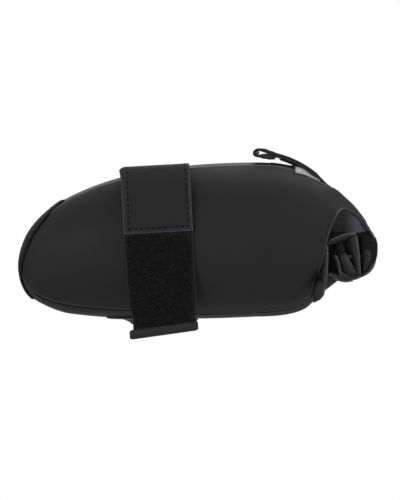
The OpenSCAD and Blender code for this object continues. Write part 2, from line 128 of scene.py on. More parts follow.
stage_white = bpy.data.materials.new("stage_white")
start = emptied(stage_white)
paint = start.node("BsdfDiffuse", inputs={"Color": grey(0.86)})
glow = start.node("Emission", inputs={"Color": grey(1.0), "Strength": 1.0})
place = start.node("TexCoord", out="Object")
far = place.node("VectorMath", {"operation": "LENGTH"}, {0: place}, out="Value") * (1 / FLOOR_RADIUS)
edge = start.node("Clamp", inputs={"Value": (far - 0.35) * 2.0})
share = WHITE_SHARE + (1 - WHITE_SHARE) * edge
above = start.node("MixShader", inputs={0: seen(start) * share, 1: paint, 2: glow})
below = start.node("BsdfTransparent")
back = start.node("NewGeometry", out="Backfacing")
surface(start, "Material", start.node("MixShader", inputs={0: back, 1: above, 2: below}))

bpy.ops.mesh.primitive_circle_add(
    vertices=96, radius=FLOOR_RADIUS, fill_type="NGON", location=(0, 0, FLOOR_Z))
floor = bpy.context.object
floor.name = "floor"
floor.data.materials.append(stage_white)

room = bpy.data.worlds.new("room")
bpy.context.scene.world = room
start = emptied(room)
strength = seen(start).math("MINIMUM", 1.0) * (1 - AMBIENT) + AMBIENT
surface(start, "World", start.node("Background", inputs={"Color": grey(1.0), "Strength": strength}))

AIM = Vector((27, -42, -49)) * MM


def lamp(name, place, power, size):
    made = bpy.data.lights.new(name, "AREA")
    made.energy, made.shape, made.size = power, "DISK", size
    holder = bpy.data.objects.new(name, made)
    bpy.context.scene.collection.objects.link(holder)
    holder.location = place
    holder.rotation_mode = "QUATERNION"
    holder.rotation_quaternion = (AIM - Vector(place)).to_track_quat("-Z", "Y")


lamp("key", (-0.85, -1.2, 0.35), 9.5, 0.8)
lamp("top", (0.3, 0.45, 1.2), 6, 0.8)
lamp("fill", (1.3, -0.55, 0.35), 8, 0.7)

CAMERA_DISTANCE = 3.4
CAMERA_RISE = radians(0.4)
PICTURE_HEIGHT = 0.308
camera = bpy.data.objects.new("camera", bpy.data.cameras.new("camera"))
bpy.context.scene.collection.objects.link(camera)
camera.data.lens = camera.data.sensor_width * CAMERA_DISTANCE / PICTURE_HEIGHT
camera.data.clip_end = 50
towards = Vector((0, -cos(CAMERA_RISE), sin(CAMERA_RISE)))
camera.location = AIM + towards * CAMERA_DISTANCE
camera.rotation_mode = "QUATERNION"
camera.rotation_quaternion = (-towards).to_track_quat("-Z", "Y")
bpy.context.scene.camera = camera
bpy.context.scene.view_settings.view_transform = "Standard"

# ---- Body panels ----------------------------------------------------------------------------
# Two side panels, a top and a bottom panel and a nose panel of fabric coated with a matt film.
# They are sewn inside out: the top panel laps the sides, and the sides lap the bottom panel.

# Frames of the body from the nose to the mouth, in mm: top x and z, bottom x and z, half width
FRAMES = [
    [-85, -55, -85, -63, 13], [-83.5, -48, -83.5, -70, 16.5], [-79, -38, -79, -77.5, 20],
    [-70, -27.5, -70, -83.5, 24.5], [-56, -17, -56, -87.5, 29], [-34, -7.5, -34, -90, 34.5],
    [-10, -1, -10, -91, 38.5], [16, 3, 16, -91, 41], [44, 5, 42, -90.5, 42], [72, 5, 68, -89.5, 41.5],
    [88, 1.5, 84, -87, 39.5], [98, -3.5, 92, -84, 38], [107, -9, 97.5, -80, 36.5],
]
LAST = len(FRAMES) - 1
TOP_ROUND, BOTTOM_ROUND = 2.2, 2.6
TOP_SEAM_DROP, BOTTOM_SEAM_RISE = 2.2, 5
# How much lower the bottom seam runs behind the belt
LOW_BEHIND = 2.6
FABRIC = 1.2
BAG_MIDDLE = np.array([25.0, 0, -45])


def ramp(x, start, end):
    """0 up to start, 1 from end on, and straight between them. end may be the lower one."""
    return np.clip((x - start) / (end - start), 0, 1)


def bell(x, width):
    return np.exp(-((x / width) ** 2))


def stacked(*parts):
    """Points from their coordinates, which may be numbers or arrays that broadcast."""
    return np.stack(np.broadcast_arrays(*parts), -1)


def unit(vectors):
    return vectors / np.maximum(np.linalg.norm(vectors, axis=-1, keepdims=True), 1e-9)


def spline(points, t):
    """Points at t on the smooth curve through the given points."""
    p, t = np.asarray(points, float), np.asarray(t, float)
    n = len(p) - 1
    i = np.clip(np.floor(t).astype(int), 0, n - 1)
    f = (t - i)[..., None]
    a, b, c, d = p[np.maximum(i - 1, 0)], p[i], p[i + 1], p[np.minimum(i + 2, n)]
    bend = (2 * a - 5 * b + 4 * c - d) * f**2 + (3 * b - a - 3 * c + d) * f**3
    return 0.5 * (2 * b + (c - a) * f + bend)


def half_height(frames, u):
    f = spline(frames, u)
    return np.linalg.norm(f[..., 0:2] - f[..., 2:4], axis=-1) / 2


def frame_point(frames, u, angle, side):
    """Points on the frame at u, at an angle from the keel (-90) to the crest (90 degrees)."""
    u, angle = np.broadcast_arrays(u, angle)
    f = spline(frames, u)
    top, bottom = f[..., 0:2], f[..., 2:4]
    reach = half_height(frames, u)
    up = (top - bottom) / (2 * reach)[..., None]
    power = 2 / np.where(angle >= 0, TOP_ROUND, BOTTOM_ROUND)
    rise = np.sign(angle) * reach * np.abs(np.sin(angle)) ** power
    y = side * f[..., 4] * np.abs(np.cos(angle)) ** power
    middle = (top + bottom) / 2 + up * rise[..., None]
    return stacked(middle[..., 0], y, middle[..., 1])


def top_seam(u):
    h = half_height(FRAMES, u)
    return np.arcsin((1 - np.minimum(TOP_SEAM_DROP, 0.35 * h) / h) ** (TOP_ROUND / 2))


def bottom_seam(u):
    h = half_height(FRAMES, u)
    rise = BOTTOM_SEAM_RISE - LOW_BEHIND * ramp(np.asarray(u, float), 5.8, 7.4)
    return -np.arcsin((1 - np.minimum(rise, 0.35 * h) / h) ** (BOTTOM_ROUND / 2))


def stops(n, rim=0.006):
    """Even places from 0 to 1, with two more close to each end for a rounded edge."""
    end = np.array([0, rim * 0.35, rim])
    return np.concatenate([end, np.linspace(0, 1, n + 2)[1:-1], 1 - end[::-1]])


def lengths(points):
    """Distance along each row of points, from 0."""
    step = np.linalg.norm(np.diff(points, axis=1), axis=-1)
    return np.concatenate([np.zeros((len(points), 1)), np.cumsum(step, axis=1)], axis=1)


def spread(points, places):
    """Each row of points again, at places from 0 to 1 of its own length."""
    along = lengths(points)
    return np.array([
        np.stack([np.interp(places * far[-1], far, row[:, k]) for k in range(3)], -1)
        for row, far in zip(points, along)
    ])


def normals(grid, away_from):
    """Unit normals of a grid of points, pointing away from a point."""
    n = unit(np.cross(np.gradient(grid, axis=0), np.gradient(grid, axis=1)))
    return n * (1 if np.sum(n * (grid - np.asarray(away_from, float))) > 0 else -1)


def new_piece(name, points, faces, corners=None, edge=None, sharp=None):
    """A mesh piece from points in mm. corners are UV in mm, and edge is 1 along the borders, where the
    finishes paint their edge tone: wear mixed with painted highlight and shadow.
    """
    mesh = bpy.data.meshes.new(name)
    mesh.from_pydata((points * MM).tolist(), [], faces)
    mesh.polygons.foreach_set("use_smooth", [True] * len(mesh.polygons))
    if corners is not None:
        loops = np.empty(len(mesh.loops), int)
        mesh.loops.foreach_get("vertex_index", loops)
        layer = mesh.uv_layers.new(name="UVMap")
        layer.data.foreach_set("uv", (corners[loops] * MM).astype(np.float32).ravel())
    if edge is not None:
        edge_band = mesh.attributes.new("edge", "FLOAT", "POINT")
        edge_band.data.foreach_set("value", edge.astype(np.float32))
    if sharp is not None and sharp.any():
        ends = np.empty(len(mesh.edges) * 2, int)
        mesh.edges.foreach_get("vertices", ends)
        marks = mesh.attributes.new("sharp_edge", "BOOLEAN", "EDGE")
        marks.data.foreach_set("value", sharp[ends.reshape(-1, 2)].all(1))
    mesh.validate()
    piece = bpy.data.objects.new(name, mesh)
    bpy.context.scene.collection.objects.link(piece)
    return piece


def shell_arrays(outer, inner, flush=""):
    """Points, faces, UV, an edge mask for wear and painted light at the borders, and sharp marks of a closed
    sheet between two grids.
    """
    rows, cols = outer.shape[:2]
    ids = np.arange(rows * cols).reshape(rows, cols)
    face = np.stack([ids[:-1, :-1], ids[:-1, 1:], ids[1:, 1:], ids[1:, :-1]], -1).reshape(-1, 4)
    ring = np.concatenate([ids[0, :-1], ids[:-1, -1], ids[-1, :0:-1], ids[:0:-1, 0]])
    after, n = np.roll(ring, -1), rows * cols
    rim = np.stack([after, ring, ring + n, after + n], -1)
    faces = np.concatenate([face, face[:, ::-1] + n, rim])
    across, down = outer[:-1, 1:] - outer[:-1, :-1], outer[1:, :-1] - outer[:-1, :-1]
    if np.sum(np.cross(across, down) * (outer - inner)[:-1, :-1]) < 0:
        faces = faces[:, ::-1]
    u = np.cumsum(np.linalg.norm(np.diff(outer, axis=0), axis=-1).mean(1))
    u = np.concatenate([[0], u])[:, None]
    v = lengths(outer)
    uv = stacked(u, v - v[:, -1:] / 2).reshape(-1, 2)
    gaps = [np.broadcast_to(gap, v.shape) + 99 * (mark in flush)
            for mark, gap in zip("abcd", (u, u[-1] - u, v, v[:, -1:] - v))]
    edge = np.exp(-np.minimum.reduce(gaps) / 0.7).reshape(-1)
    sharp = np.zeros((rows, cols), bool)
    for mark, place in zip("abcd", (np.s_[0], np.s_[-1], np.s_[:, 0], np.s_[:, -1])):
        sharp[place] |= mark in flush
    points = np.concatenate([outer.reshape(-1, 3), inner.reshape(-1, 3)])
    return points, faces, np.tile(uv, (2, 1)), np.tile(edge, 2), np.tile(sharp.reshape(-1), 2)


# Share of the full thickness at a sheet's edge and one step in from it
ROUNDING = (0.2, 0.72)


def wall_grids(grid, n, wall, flush=""):
    """The two faces of a sheet with this inner face. Its edges are rounded, except flush ones."""
    k = np.ones(grid.shape[:2])
    for i, share in enumerate(ROUNDING):
        for mark, place in zip("abcd", (np.s_[i], np.s_[-1 - i], np.s_[:, i], np.s_[:, -1 - i])):
            if mark not in flush:
                k[place] = np.minimum(k[place], share)
    half = 0.5 * wall * k[..., None]
    middle = grid + n * wall / 2
    return middle + n * half, middle - n * half


def cloth(name, grid, wall, away_from, flush="", lift=0.0):
    """A sheet of cloth with its inner face on a grid of points, raised by lift.

    flush names the edges left square: a and b are the first and last row, c and d the columns.
    """
    n = normals(grid, away_from)
    grid = grid + n * (lift[..., None] if isinstance(lift, np.ndarray) else lift)
    outer, inner = wall_grids(grid, normals(grid, away_from), wall, flush)
    points, faces, uv, edge, sharp = shell_arrays(outer, inner, flush)
    return new_piece(name, points, faces.tolist(), uv, edge, sharp)


def bump_at(grid, place, radius, height):
    """A soft rise or dent of a grid round a place: x and z in mm."""
    far = ((grid[..., 0] - place[0]) / radius[0]) ** 2 + ((grid[..., 2] - place[1]) / radius[1]) ** 2
    return height * np.exp(-far)


def ripple(grid, pitch, seed):
    """Uneven soft waves between -1 and 1, the same at each run."""
    draw = np.random.default_rng(seed)
    total = np.zeros(grid.shape[:-1])
    for _ in range(7):
        way = draw.normal(size=3)
        way *= 2 * np.pi / (pitch * draw.uniform(0.7, 1.6) * np.linalg.norm(way))
        total += np.sin(grid @ way + draw.uniform(0, 6.28))
    return total / 4


def material(name, paint):
    """A material whose Principled sockets are what paint returns for them."""
    made = bpy.data.materials.new(name)
    made.use_nodes = True
    surface = made.node_tree.nodes["Principled BSDF"]
    for socket, value in paint(Shade(made.node_tree)).items():
        if isinstance(value, Shade):
            made.node_tree.links.new(value.socket, surface.inputs[socket])
        else:
            surface.inputs[socket].default_value = value
    return made


def uv_phases(s, pitch):
    """The two UV coordinates, which are in metres, as phases that turn once in a pitch."""
    place = s.node("UVMap", {"uv_map": "UVMap"})
    return [s.node("SeparateXYZ", inputs={"Vector": place}, out=k) * (2 * np.pi / pitch) for k in (0, 1)]


def noise(s, pitch, detail=2.0, rough=0.5, twist=0.0):
    """Noise from 0 to 1 with cells about as wide as pitch, in metres, on Object coordinates."""
    place = s.node("TexCoord", out="Object")
    return s.node("TexNoise", {"noise_dimensions": "3D"}, {
        "Vector": place, "Scale": 1 / pitch, "Detail": detail, "Roughness": rough, "Distortion": twist,
    })


def coated(tone, edge_tone, warm=-0.08, rough=0.62, weave_height=0.10, shine=0.15):
    """A matt film on woven cloth: a faint weave, soft mottling and an edge tone along the borders, which is
    rubbed wear mixed with painted light: a painted highlight where edge_tone is pale, a painted shadow line
    where it is dark.
    """

    def paint(s):
        cloud = noise(s, 0.035, 3.0)
        grain = noise(s, 0.0007, 2.0)
        # Painted light: along the borders the colour turns to edge_tone, which paints a highlight line where
        # it is pale and a shadow line where it is dark, mixed with rubbed wear.
        edge_band = s.node("Attribute", {"attribute_name": "edge"}, out="Fac")
        edge_share = edge_band * (0.45 + 0.8 * noise(s, 0.006))
        base = (0.35 + 0.3 * cloud + 0.35 * grain).mix(grey(tone * 0.8, warm), grey(tone * 1.2, warm))
        u, v = uv_phases(s, 0.0011)
        height = u.math("SINE") * v.math("SINE") * weave_height + grain * 0.35 + noise(s, 0.004) * 0.5
        return {
            "Base Color": edge_share.mix(base, grey(edge_tone, warm)),
            "Roughness": rough - 0.10 * cloud + 0.12 * grain,
            "Normal": height.bump(0.35, 0.00016), "Specular IOR Level": shine, "IOR": 1.45,
        }

    return paint


def dress(piece, finish, nodes, body=None, joint=None):
    """Gives a piece its finish, and rides it on a body, or, given a joint, bakes its placement into its mesh.
    """
    piece.data.materials.clear()
    piece.data.materials.append(finish)
    if joint:
        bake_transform(piece)
    else:
        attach(piece, body)
    if nodes:
        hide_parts(*nodes)
    return piece


# Painted light in the edge tones: the side and top fabrics' pale edges are painted highlight lines along the
# seams, and the base fabric's dark edge is a painted shadow line at its seams.
side_finish = material("side_fabric", coated(0.0148, 0.060))
# The top fabric's lighter, warm tone is a painted sheen of the top band.
top_sheen_finish = material("top_fabric", coated(0.018, 0.085, warm=0.03, rough=0.5, shine=0.3))
base_finish = material("base_fabric", coated(0.0155, 0.004))
nose_finish = material("nose_coating", coated(0.0034, 0.006, rough=0.62, weave_height=0.0, shine=0.1))

BELT_X = -0.9
SIDE_ROWS = np.concatenate([np.linspace(0, 2, 22)[:-1], np.linspace(2, LAST, 150)])
NOSE_END = 3


def side_grid(side):
    u = SIDE_ROWS[:, None]
    t = np.linspace(0, 1, 260)[None, :]
    angle = bottom_seam(u) * (1 - t) + top_seam(u) * t
    return spread(frame_point(FRAMES, u, angle, side), stops(64, 0.007))


def pulled_in(x):
    """How far the closure webbing pulls the crest in, at x."""
    return 2.3 * ramp(x, 99, 107) * ramp(x, 134, 128)


def beside_webbing(grid):
    """The channel that the closure webbing pulls into the crest, and the puffed cloth beside it."""
    y = np.abs(grid[..., 1])
    beside = ramp(y, 10.6, 13)
    puff = bell(y - 15, 6.5) * ramp(grid[..., 0], 100, 109)
    puff *= ramp(grid[..., 0], 134, 128)
    return 2.3 * puff * beside - pulled_in(grid[..., 0]) * (1 - beside)


def side_slack(grid, side):
    """How far the side fabric stands out of its plain form: dents, folds and seam edges."""
    high = lengths(grid)
    d_low, d_top = high, high[:, -1:] - high
    free = ramp(d_low, 0, 9) * ramp(d_top, 0, 9)
    beside_belt = bell(grid[..., 0] - 2, 30)
    soft = 0.55 * ripple(grid * [1, 1, 0.8], 62, 5 + side) + 0.16 * ripple(grid, 21, 8 + side)
    soft += bump_at(grid, (-48, -52), (20, 24), 0.9) + bump_at(grid, (60, -40), (26, 30), 0.7)
    soft -= bump_at(grid, (84, -62), (10, 16), 0.3) + bump_at(grid, (30, -66), (12, 20), 0.5)
    soft *= (1 - 0.97 * beside_belt) * ramp(grid[..., 0], 105, 93)
    soft *= np.maximum(ramp(grid[..., 0], -74, -52), 0.05)
    soft = np.clip(soft, -1.6, 1.6) * free
    seams = 0.32 * bell(d_low, 2.2) - 0.45 * bell(d_top, 1.3)
    puffed = np.where(d_top < 14, beside_webbing(grid), 0)
    return soft + seams + np.maximum(puffed, 0)


def drawn_in(points):
    """How far the side fabric's rear edge is drawn forward near the base, by the folds under it."""
    x, z = points[..., 0], points[..., 2]
    return 2.5 * (ramp(z, -56, -71) * ramp(z, -80.5, -74.5)) ** 1.3 * ramp(x, 74, 96) ** 2


def cut_flat(grid):
    """Works out a sheet's length along its middle column and its steps across and down; nothing is declared
    and the results are not used.
    """
    length = lengths(grid.swapaxes(0, 1))[grid.shape[1] // 2, -1]
    across, down = grid[:-1, 1:] - grid[:-1, :-1], grid[1:, :-1] - grid[:-1, :-1]
for side, body_side in ((-1, "left"), (1, "right")):
    grid = side_grid(side)
    grid[..., 0] -= drawn_in(grid)
    grid = grid - normals(grid, BAG_MIDDLE) * FABRIC
    piece = cloth(f"{body_side}_side", grid, FABRIC, BAG_MIDDLE, "b", side_slack(grid, side))
    dress(piece, side_finish, [f"{body_side}_side_panel"], "bag")
    cut_flat(grid)


def rows_over(frames, u, pole, far, places, fine=161):
    """Rows over the crest (pole 1) or under the keel (pole -1), each out to its angle far."""
    c = np.linspace(-1, 1, fine)[None, :]
    angle = pole * np.pi / 2 * (1 - np.abs(c)) + far * np.abs(c)
    return spread(frame_point(frames, u, angle, np.where(c < 0, -1, 1)), places)


def cap_grid(u, pole, reach, rim, cols=40):
    """Rows over the crest or under the keel, out to a share of the way to the seam."""
    u = np.asarray(u, float)[:, None]
    far = pole * np.pi / 2 * (1 - reach) + (top_seam(u) if pole > 0 else bottom_seam(u)) * reach
    return rows_over(FRAMES, u, pole, pole * np.maximum(pole * far, radians(5)), stops(cols, rim))


def panel(name, grid, away_from, finish, slot, node, held, body=None, joint=None, **form):
    """A body panel with its outer face on a grid of points."""
    piece = cloth(name, grid - normals(grid, away_from) * FABRIC, FABRIC, away_from, **form)
    dress(piece, finish, [node], body, joint)
    cut_flat(grid)


cap_rows = NOSE_END + (LAST - NOSE_END) * stops(110, 0.003)
top = cap_grid(cap_rows, 1, 1.05, 0.02)
across = lengths(top)
lift = 0.4 * bell(np.minimum(across, across[:, -1:] - across), 2.6) + beside_webbing(top)
panel("top_strip", top, BAG_MIDDLE, top_sheen_finish, "top_fabric", "top_panel", "stretched", "bag", lift=lift)

bottom = cap_grid(cap_rows, -1, 1.0, 0.012)
across, x = lengths(bottom), bottom[..., 0]
sag = 0.9 + 0.9 * ramp(x, 62, 80) * ramp(x, 98, 92) + 0.25 * ripple(bottom, 40, 3)
sag *= ramp(across, 0, 9) * ramp(across[:, -1:] - across, 0, 9) * ramp(x, -70, -56)
panel("bottom_strip", bottom, BAG_MIDDLE, base_finish, "base_fabric", "bottom_panel", "stretched",
      "bag", lift=sag)


# Seam edge: the raised lip of the side fabric along the bottom seam, pale as a painted highlight, and under
# it a dark cord that is painted shadow for the seam's groove.
def tube(name, rings):
    """A closed tube through rings of points, with its ends rounded off by their own last rings."""
    count, around = rings.shape[:2]
    ids = np.arange(count * around).reshape(count, around)
    nxt = np.roll(ids, -1, axis=1)
    faces = np.stack([ids[:-1], nxt[:-1], nxt[1:], ids[1:]], -1).reshape(-1, 4).tolist()
    faces += [ids[0, ::-1].tolist(), ids[-1].tolist()]
    middle = rings.mean(1, keepdims=True)
    face_out = np.cross(rings[:-1] - np.roll(rings, -1, 1)[:-1], rings[1:] - rings[:-1])
    if np.sum(face_out * (rings - middle)[:-1]) > 0:
        faces = [f[::-1] for f in faces]
    along = np.cumsum(np.linalg.norm(np.diff(middle[:, 0], axis=0), axis=-1))
    half_way = rings[count // 2]
    girth = np.linalg.norm(half_way - np.roll(half_way, 1, 0), axis=-1).cumsum()
    uv = stacked(np.concatenate([[0], along])[:, None], girth).reshape(-1, 2)
    return new_piece(name, rings.reshape(-1, 3), faces, uv, np.zeros(count * around))


def rope(path, radius, around=10):
    """Rings of a round cord along a path, with rounded ends."""
    way = unit(np.gradient(path, axis=0))
    one = unit(np.cross(way, [0.05, 1, 0.02]))
    other = np.cross(way, one)
    a = np.linspace(0, 2 * np.pi, around + 1)[:-1, None]
    size = radius * np.ones(len(path))
    size[[0, -1]] *= 0.35
    size[[1, -2]] *= 0.8
    return path[:, None] + size[:, None, None] * (np.cos(a) * one[:, None] + np.sin(a) * other[:, None])


def seam_line(drop, out_by, side):
    """The bottom seam's line, moved down the frame by drop and out by out_by."""
    u = np.linspace(2.35, LAST - 0.05, 320)
    low = frame_point(FRAMES, u, bottom_seam(u) - drop / half_height(FRAMES, u), side)
    return low + np.array([0, side, -0.7]) / 1.22 * out_by


# Painted light: the lip's pale tone is a painted highlight, and the dark cord is painted shadow.
lip_highlight_finish = material("seam_lip_highlight", coated(0.045, 0.045, weave_height=0.0))
seam_shadow_finish = material("seam_shadow_cord", coated(0.0015, 0.0015, weave_height=0.0, shine=0.05))
for side, name in ((-1, "left"), (1, "right")):
    piece = tube(f"{name}_seam_lip_highlight", rope(seam_line(-0.5, 0.25, side), 0.42, 8))
    dress(piece, lip_highlight_finish, [], "bag")
    piece = tube(f"{name}_seam_shadow_cord", rope(seam_line(0.9, 0.3, side), 0.5, 8))
    dress(piece, seam_shadow_finish, [], "bag")


def nose_grid(top_u, bottom_u, top_reach, bottom_reach, cols, rim):
    """Rows from the crest down the front of the nose and back under the keel."""
    f, h = spline(FRAMES, 0), half_height(FRAMES, 0)
    top_angle = max(radians(5), np.pi / 2 * (1 - top_reach) + float(top_seam(0)) * top_reach)
    low_angle = -min(-radians(5), -np.pi / 2 * (1 - bottom_reach) + float(bottom_seam(0)) * bottom_reach)
    k = np.linspace(sin(top_angle) ** (2 / TOP_ROUND), -(sin(low_angle) ** (2 / BOTTOM_ROUND)), 9)[:, None]
    power = np.where(k >= 0, TOP_ROUND, BOTTOM_ROUND)
    wide = f[4] * (1 - np.abs(k) ** power) ** (1 / power)
    front = stacked(f[0], wide * np.linspace(-1, 1, 161), (f[1] + f[3]) / 2 + k * h)
    upper = cap_grid(top_u * (1 - stops(60, 0.006)[:-1]), 1, top_reach, rim, cols)
    lower = cap_grid(bottom_u * stops(44, 0.006)[1:], -1, bottom_reach, rim, cols)
    return np.concatenate([upper, spread(front, stops(cols, rim)), lower])


NOSE_MIDDLE = (-50, 0, -55)
panel("nose_strip", nose_grid(NOSE_END, NOSE_END, 1, 1, 30, 0.015), NOSE_MIDDLE, base_finish,
      "nose_coating", "nose_panel", "stretched", "bag")

# Nose patch: a rubbery guard welded over the nose seams. It is widest half way down the nose.
PATCH, PATCH_GAP = 0.7, 0.3
TIP = 0.85
# Half width of the guard at each place from its top end, over the tip, to its low end
GUARD_PLACES = [-3.1, -2.66, -1.6, -0.66, 0.5, 1.5, 3.18, 4.65]
GUARD_WIDTHS = [0.95, 1.05, 1.42, 1.75, 2.25, 2.42, 2.17, 1.22]


def nose_point(across, up):
    """Points of the nose laid out flat round its tip: the tip's face has a radius of TIP."""
    far = np.hypot(across, up)
    angle = np.arctan2(up, np.abs(across))
    side = np.where(across < 0, -1, 1)
    on_side = frame_point(FRAMES, np.maximum(0, far - TIP), angle, side)
    f = spline(FRAMES, 0.0)
    middle = np.array([f[0], 0, (f[1] + f[3]) / 2])
    share = np.minimum(1, far / TIP)[..., None]
    return middle + (on_side - middle) * share


up = GUARD_PLACES[-1] + (GUARD_PLACES[0] - GUARD_PLACES[-1]) * stops(110, 0.004)[:, None]
half = np.interp(up, GUARD_PLACES, GUARD_WIDTHS)
half = np.convolve(np.pad(half[:, 0], 6, "edge"), np.full(13, 1 / 13), "valid")[:, None]
grid = spread(nose_point(half * np.linspace(-1, 1, 161)[None, :], up), stops(60, 0.012))
piece = cloth("nose_guard", grid, PATCH + 0.15, NOSE_MIDDLE, lift=PATCH_GAP - 0.05)
dress(piece, nose_finish, ["nose_patch"], "bag")

# Reflective patch and loop tape: welded and sewn to the crest in front of the mouth, where the
# closure tab is pressed down. The patch is grey glass-bead film, and the tape is a black pile.


def film(s):
    place = s.node("UVMap", {"uv_map": "UVMap"})
    cells = s.node("TexVoronoi", {"feature": "DISTANCE_TO_EDGE"}, {"Vector": place, "Scale": 900.0})
    tone = (0.5 * noise(s, 0.01) + cells).mix(grey(0.28), grey(0.42))
    return {"Base Color": tone, "Roughness": 0.34 + 0.2 * noise(s, 0.004),
            "Normal": cells.bump(0.25, 0.0001), "Specular IOR Level": 0.5}


def pile(s):
    worms = noise(s, 0.0030, 2.0, 0.55, 2.6)
    base = ((worms - 0.43) * 6.0).mix(grey(0.0006), grey(0.0115))
    return {"Base Color": base, "Roughness": 0.86 - 0.08 * worms, "Normal": worms.bump(0.8, 0.0004),
            "Specular IOR Level": 0.12, "Sheen Weight": 0.05, "Sheen Roughness": 0.5}


film_finish = material("reflective_film", film)
pile_finish = material("loop_pile", pile)
hook_finish = material("hook_tape", pile)


def crest_patch(name, rows, reach, bow, peak, lift, finish, node):
    """A patch over the crest between two rows, bowed up most at peak, from -1 to 1 along it."""
    along = stops(20, 0.02)
    reach = (reach[0] + (reach[1] - reach[0]) * along)[:, None]
    grid = cap_grid(rows[0] + (rows[1] - rows[0]) * along, 1, reach, 0.02, 24)
    along = np.linspace(-1, 1, grid.shape[0])[:, None]
    across = np.linspace(-1, 1, grid.shape[1])[None, :]
    lift = lift + bow * bell(along - peak, 0.62) * (1 - across**4)
    dress(cloth(name, grid, 0.6, BAG_MIDDLE, lift=lift), finish, [node], "bag")


crest_patch("reflector", (9.86, 11.35), (1.28, 0.72), 1.2, -0.6, 0.05,
            film_finish, "reflective_patch")
crest_patch("crest_pile", (8.95, 9.84), (0.42, 0.5), 1.7, 1.25, -0.35,
            pile_finish, "closure_loop_tape")

# Base board: a plastic board in the bag that keeps its floor flat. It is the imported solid.
# Mouth stiffener: a plastic strip in the core of the rolled mouth, also as packed.


def plastic(s):
    grain = noise(s, 0.0012)
    tone = (0.4 + 0.4 * noise(s, 0.03)).mix(grey(0.03), grey(0.05))
    return {"Base Color": tone, "Roughness": 0.45 + 0.2 * grain, "Normal": grain.bump(0.3, 0.0001)}


board_finish = material("board", plastic)
for node in ("base_board", "lip_stiffener"):
    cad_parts[node].data.materials.clear()
    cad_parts[node].data.materials.append(board_finish)

# ---- Rail belt ------------------------------------------------------------------------------
# One ribbon over the crest, humped over both saddle rails, leaning back as it hangs. Each half
# has a sewn reinforcement, and the near half carries loop tape that the far half's hooks grip.
BELT_LEAN = radians(3.2)
BELT_TOP = 3.576
BELT_WIDTH, BELT, REINFORCE, LOOP_TAPE = 42.5, 1.2, 0.8, 1.6
BELT_SIDE = 41.82
RAIL_Y = 22
# Height of the bag's lower corner under the belt, of the tail's fold and of the tail's end
CORNER = -94.672
FOLD_Z = CORNER + 8.7
TAIL_BOTTOM = FOLD_Z - 13
REINFORCE_END = -42
LAYER_GAP = 0.05
BELT_MIDDLE = (0, 0, -45)
BELT_PATH = [
    [RAIL_Y - 10, -3.4], [RAIL_Y - 5, -2.1], [RAIL_Y, -1.3], [RAIL_Y + 4.5, -2.1],
    [RAIL_Y + 8.6, -5.2], [BELT_SIDE - 5.6, -13], [BELT_SIDE - 1.6, -24.3], [BELT_SIDE, -38],
    [BELT_SIDE, (FOLD_Z - 38) / 2], [BELT_SIDE, FOLD_Z],
]


def belt_world(p):
    """Points of the belt's own leaning frame, in the bag's frame."""
    p = np.asarray(p, float)
    x, y, z = p[..., 0], p[..., 1], p[..., 2]
    c, s = cos(BELT_LEAN), sin(BELT_LEAN)
    return stacked(BELT_X + c * x - s * z, y, BELT_TOP + s * x + c * z)


crest_line = spline(FRAMES, np.linspace(0, LAST, 400))[:, 0:2]


def crest_local(x):
    """Height of the crest under the belt at x, in the belt's frame."""
    return np.interp(BELT_X + x, crest_line[:, 0], crest_line[:, 1]) - BELT_TOP - x * sin(BELT_LEAN)


def belt_strip(xs, side, y0, z_end):
    """Rows along the belt's inner face, one for each x, from y0 at the crest to z_end."""
    ys = np.arange(0, RAIL_Y - 5.2, 0.8)
    ease = np.clip(ys / (RAIL_Y - 5), 0, 1)
    ease = ease**2 * (3 - 2 * ease)
    curve = spline(BELT_PATH, np.linspace(1, 6.95, 160))
    straight = stacked(BELT_SIDE, np.linspace(-38, z_end, 60))
    rows = []
    for x in xs:
        crest = stacked(ys, (crest_local(x) + LAYER_GAP) * (1 - ease) + BELT_PATH[1][1] * ease)
        line = np.concatenate([crest, curve, straight])
        # The front corner at the top curls down a little.
        curled = ramp(x, 2.2 - BELT_WIDTH / 2, -BELT_WIDTH / 2) ** 2
        line[:, 1] -= 1.3 * curled * bell(line[:, 0] - RAIL_Y, 10)
        line = line[line[:, 0] >= y0]
        rows.append(stacked(x, side * line[:, 0], line[:, 1]))
    return np.array(rows)


def hump_joint(side, body):
    """Where the belt bends as a half of it is lifted off the bag's side."""
    return ("bag", body, belt_world([0, side * 25, -1]), belt_world([0, side * 33, -9]))


def webbed(tone, edge_tone):
    """Woven webbing: ribs along it, cross threads between them and fuzzy pale edges."""

    def paint(s):
        along, across = uv_phases(s, 0.0017)
        ribs = (along + 1.6 * across.math("SINE")).math("SINE")
        height = 0.5 + 0.35 * ribs + 0.25 * (across * 2).math("SINE")
        fuzz = noise(s, 0.0009)
        edge_share = s.node("Attribute", {"attribute_name": "edge"}, out="Fac") * (0.3 + noise(s, 0.004))
        base = (0.5 * height + 0.4 * fuzz).mix(grey(tone * 0.6), grey(tone * 1.35))
        return {"Base Color": edge_share.mix(base, grey(edge_tone)), "Roughness": 0.7 + 0.15 * fuzz,
                "Normal": (height + 0.6 * fuzz).bump(0.6, 0.0003), "Specular IOR Level": 0.2}

    return paint


# The belt's pale edge tone is a painted highlight along its edges. The tails are the same ribbon, given a
# darker tone as painted shade under and beside the bag.
belt_finish = material("belt_fabric", coated(0.0148, 0.085, rough=0.66, weave_height=0.5))
tail_shade_finish = material("tail_fabric_painted_shade", coated(0.0085, 0.014, rough=0.66, weave_height=0.5))
HALF = BELT_WIDTH / 2
across_belt = HALF * (2 * stops(30, 0.012) - 1)

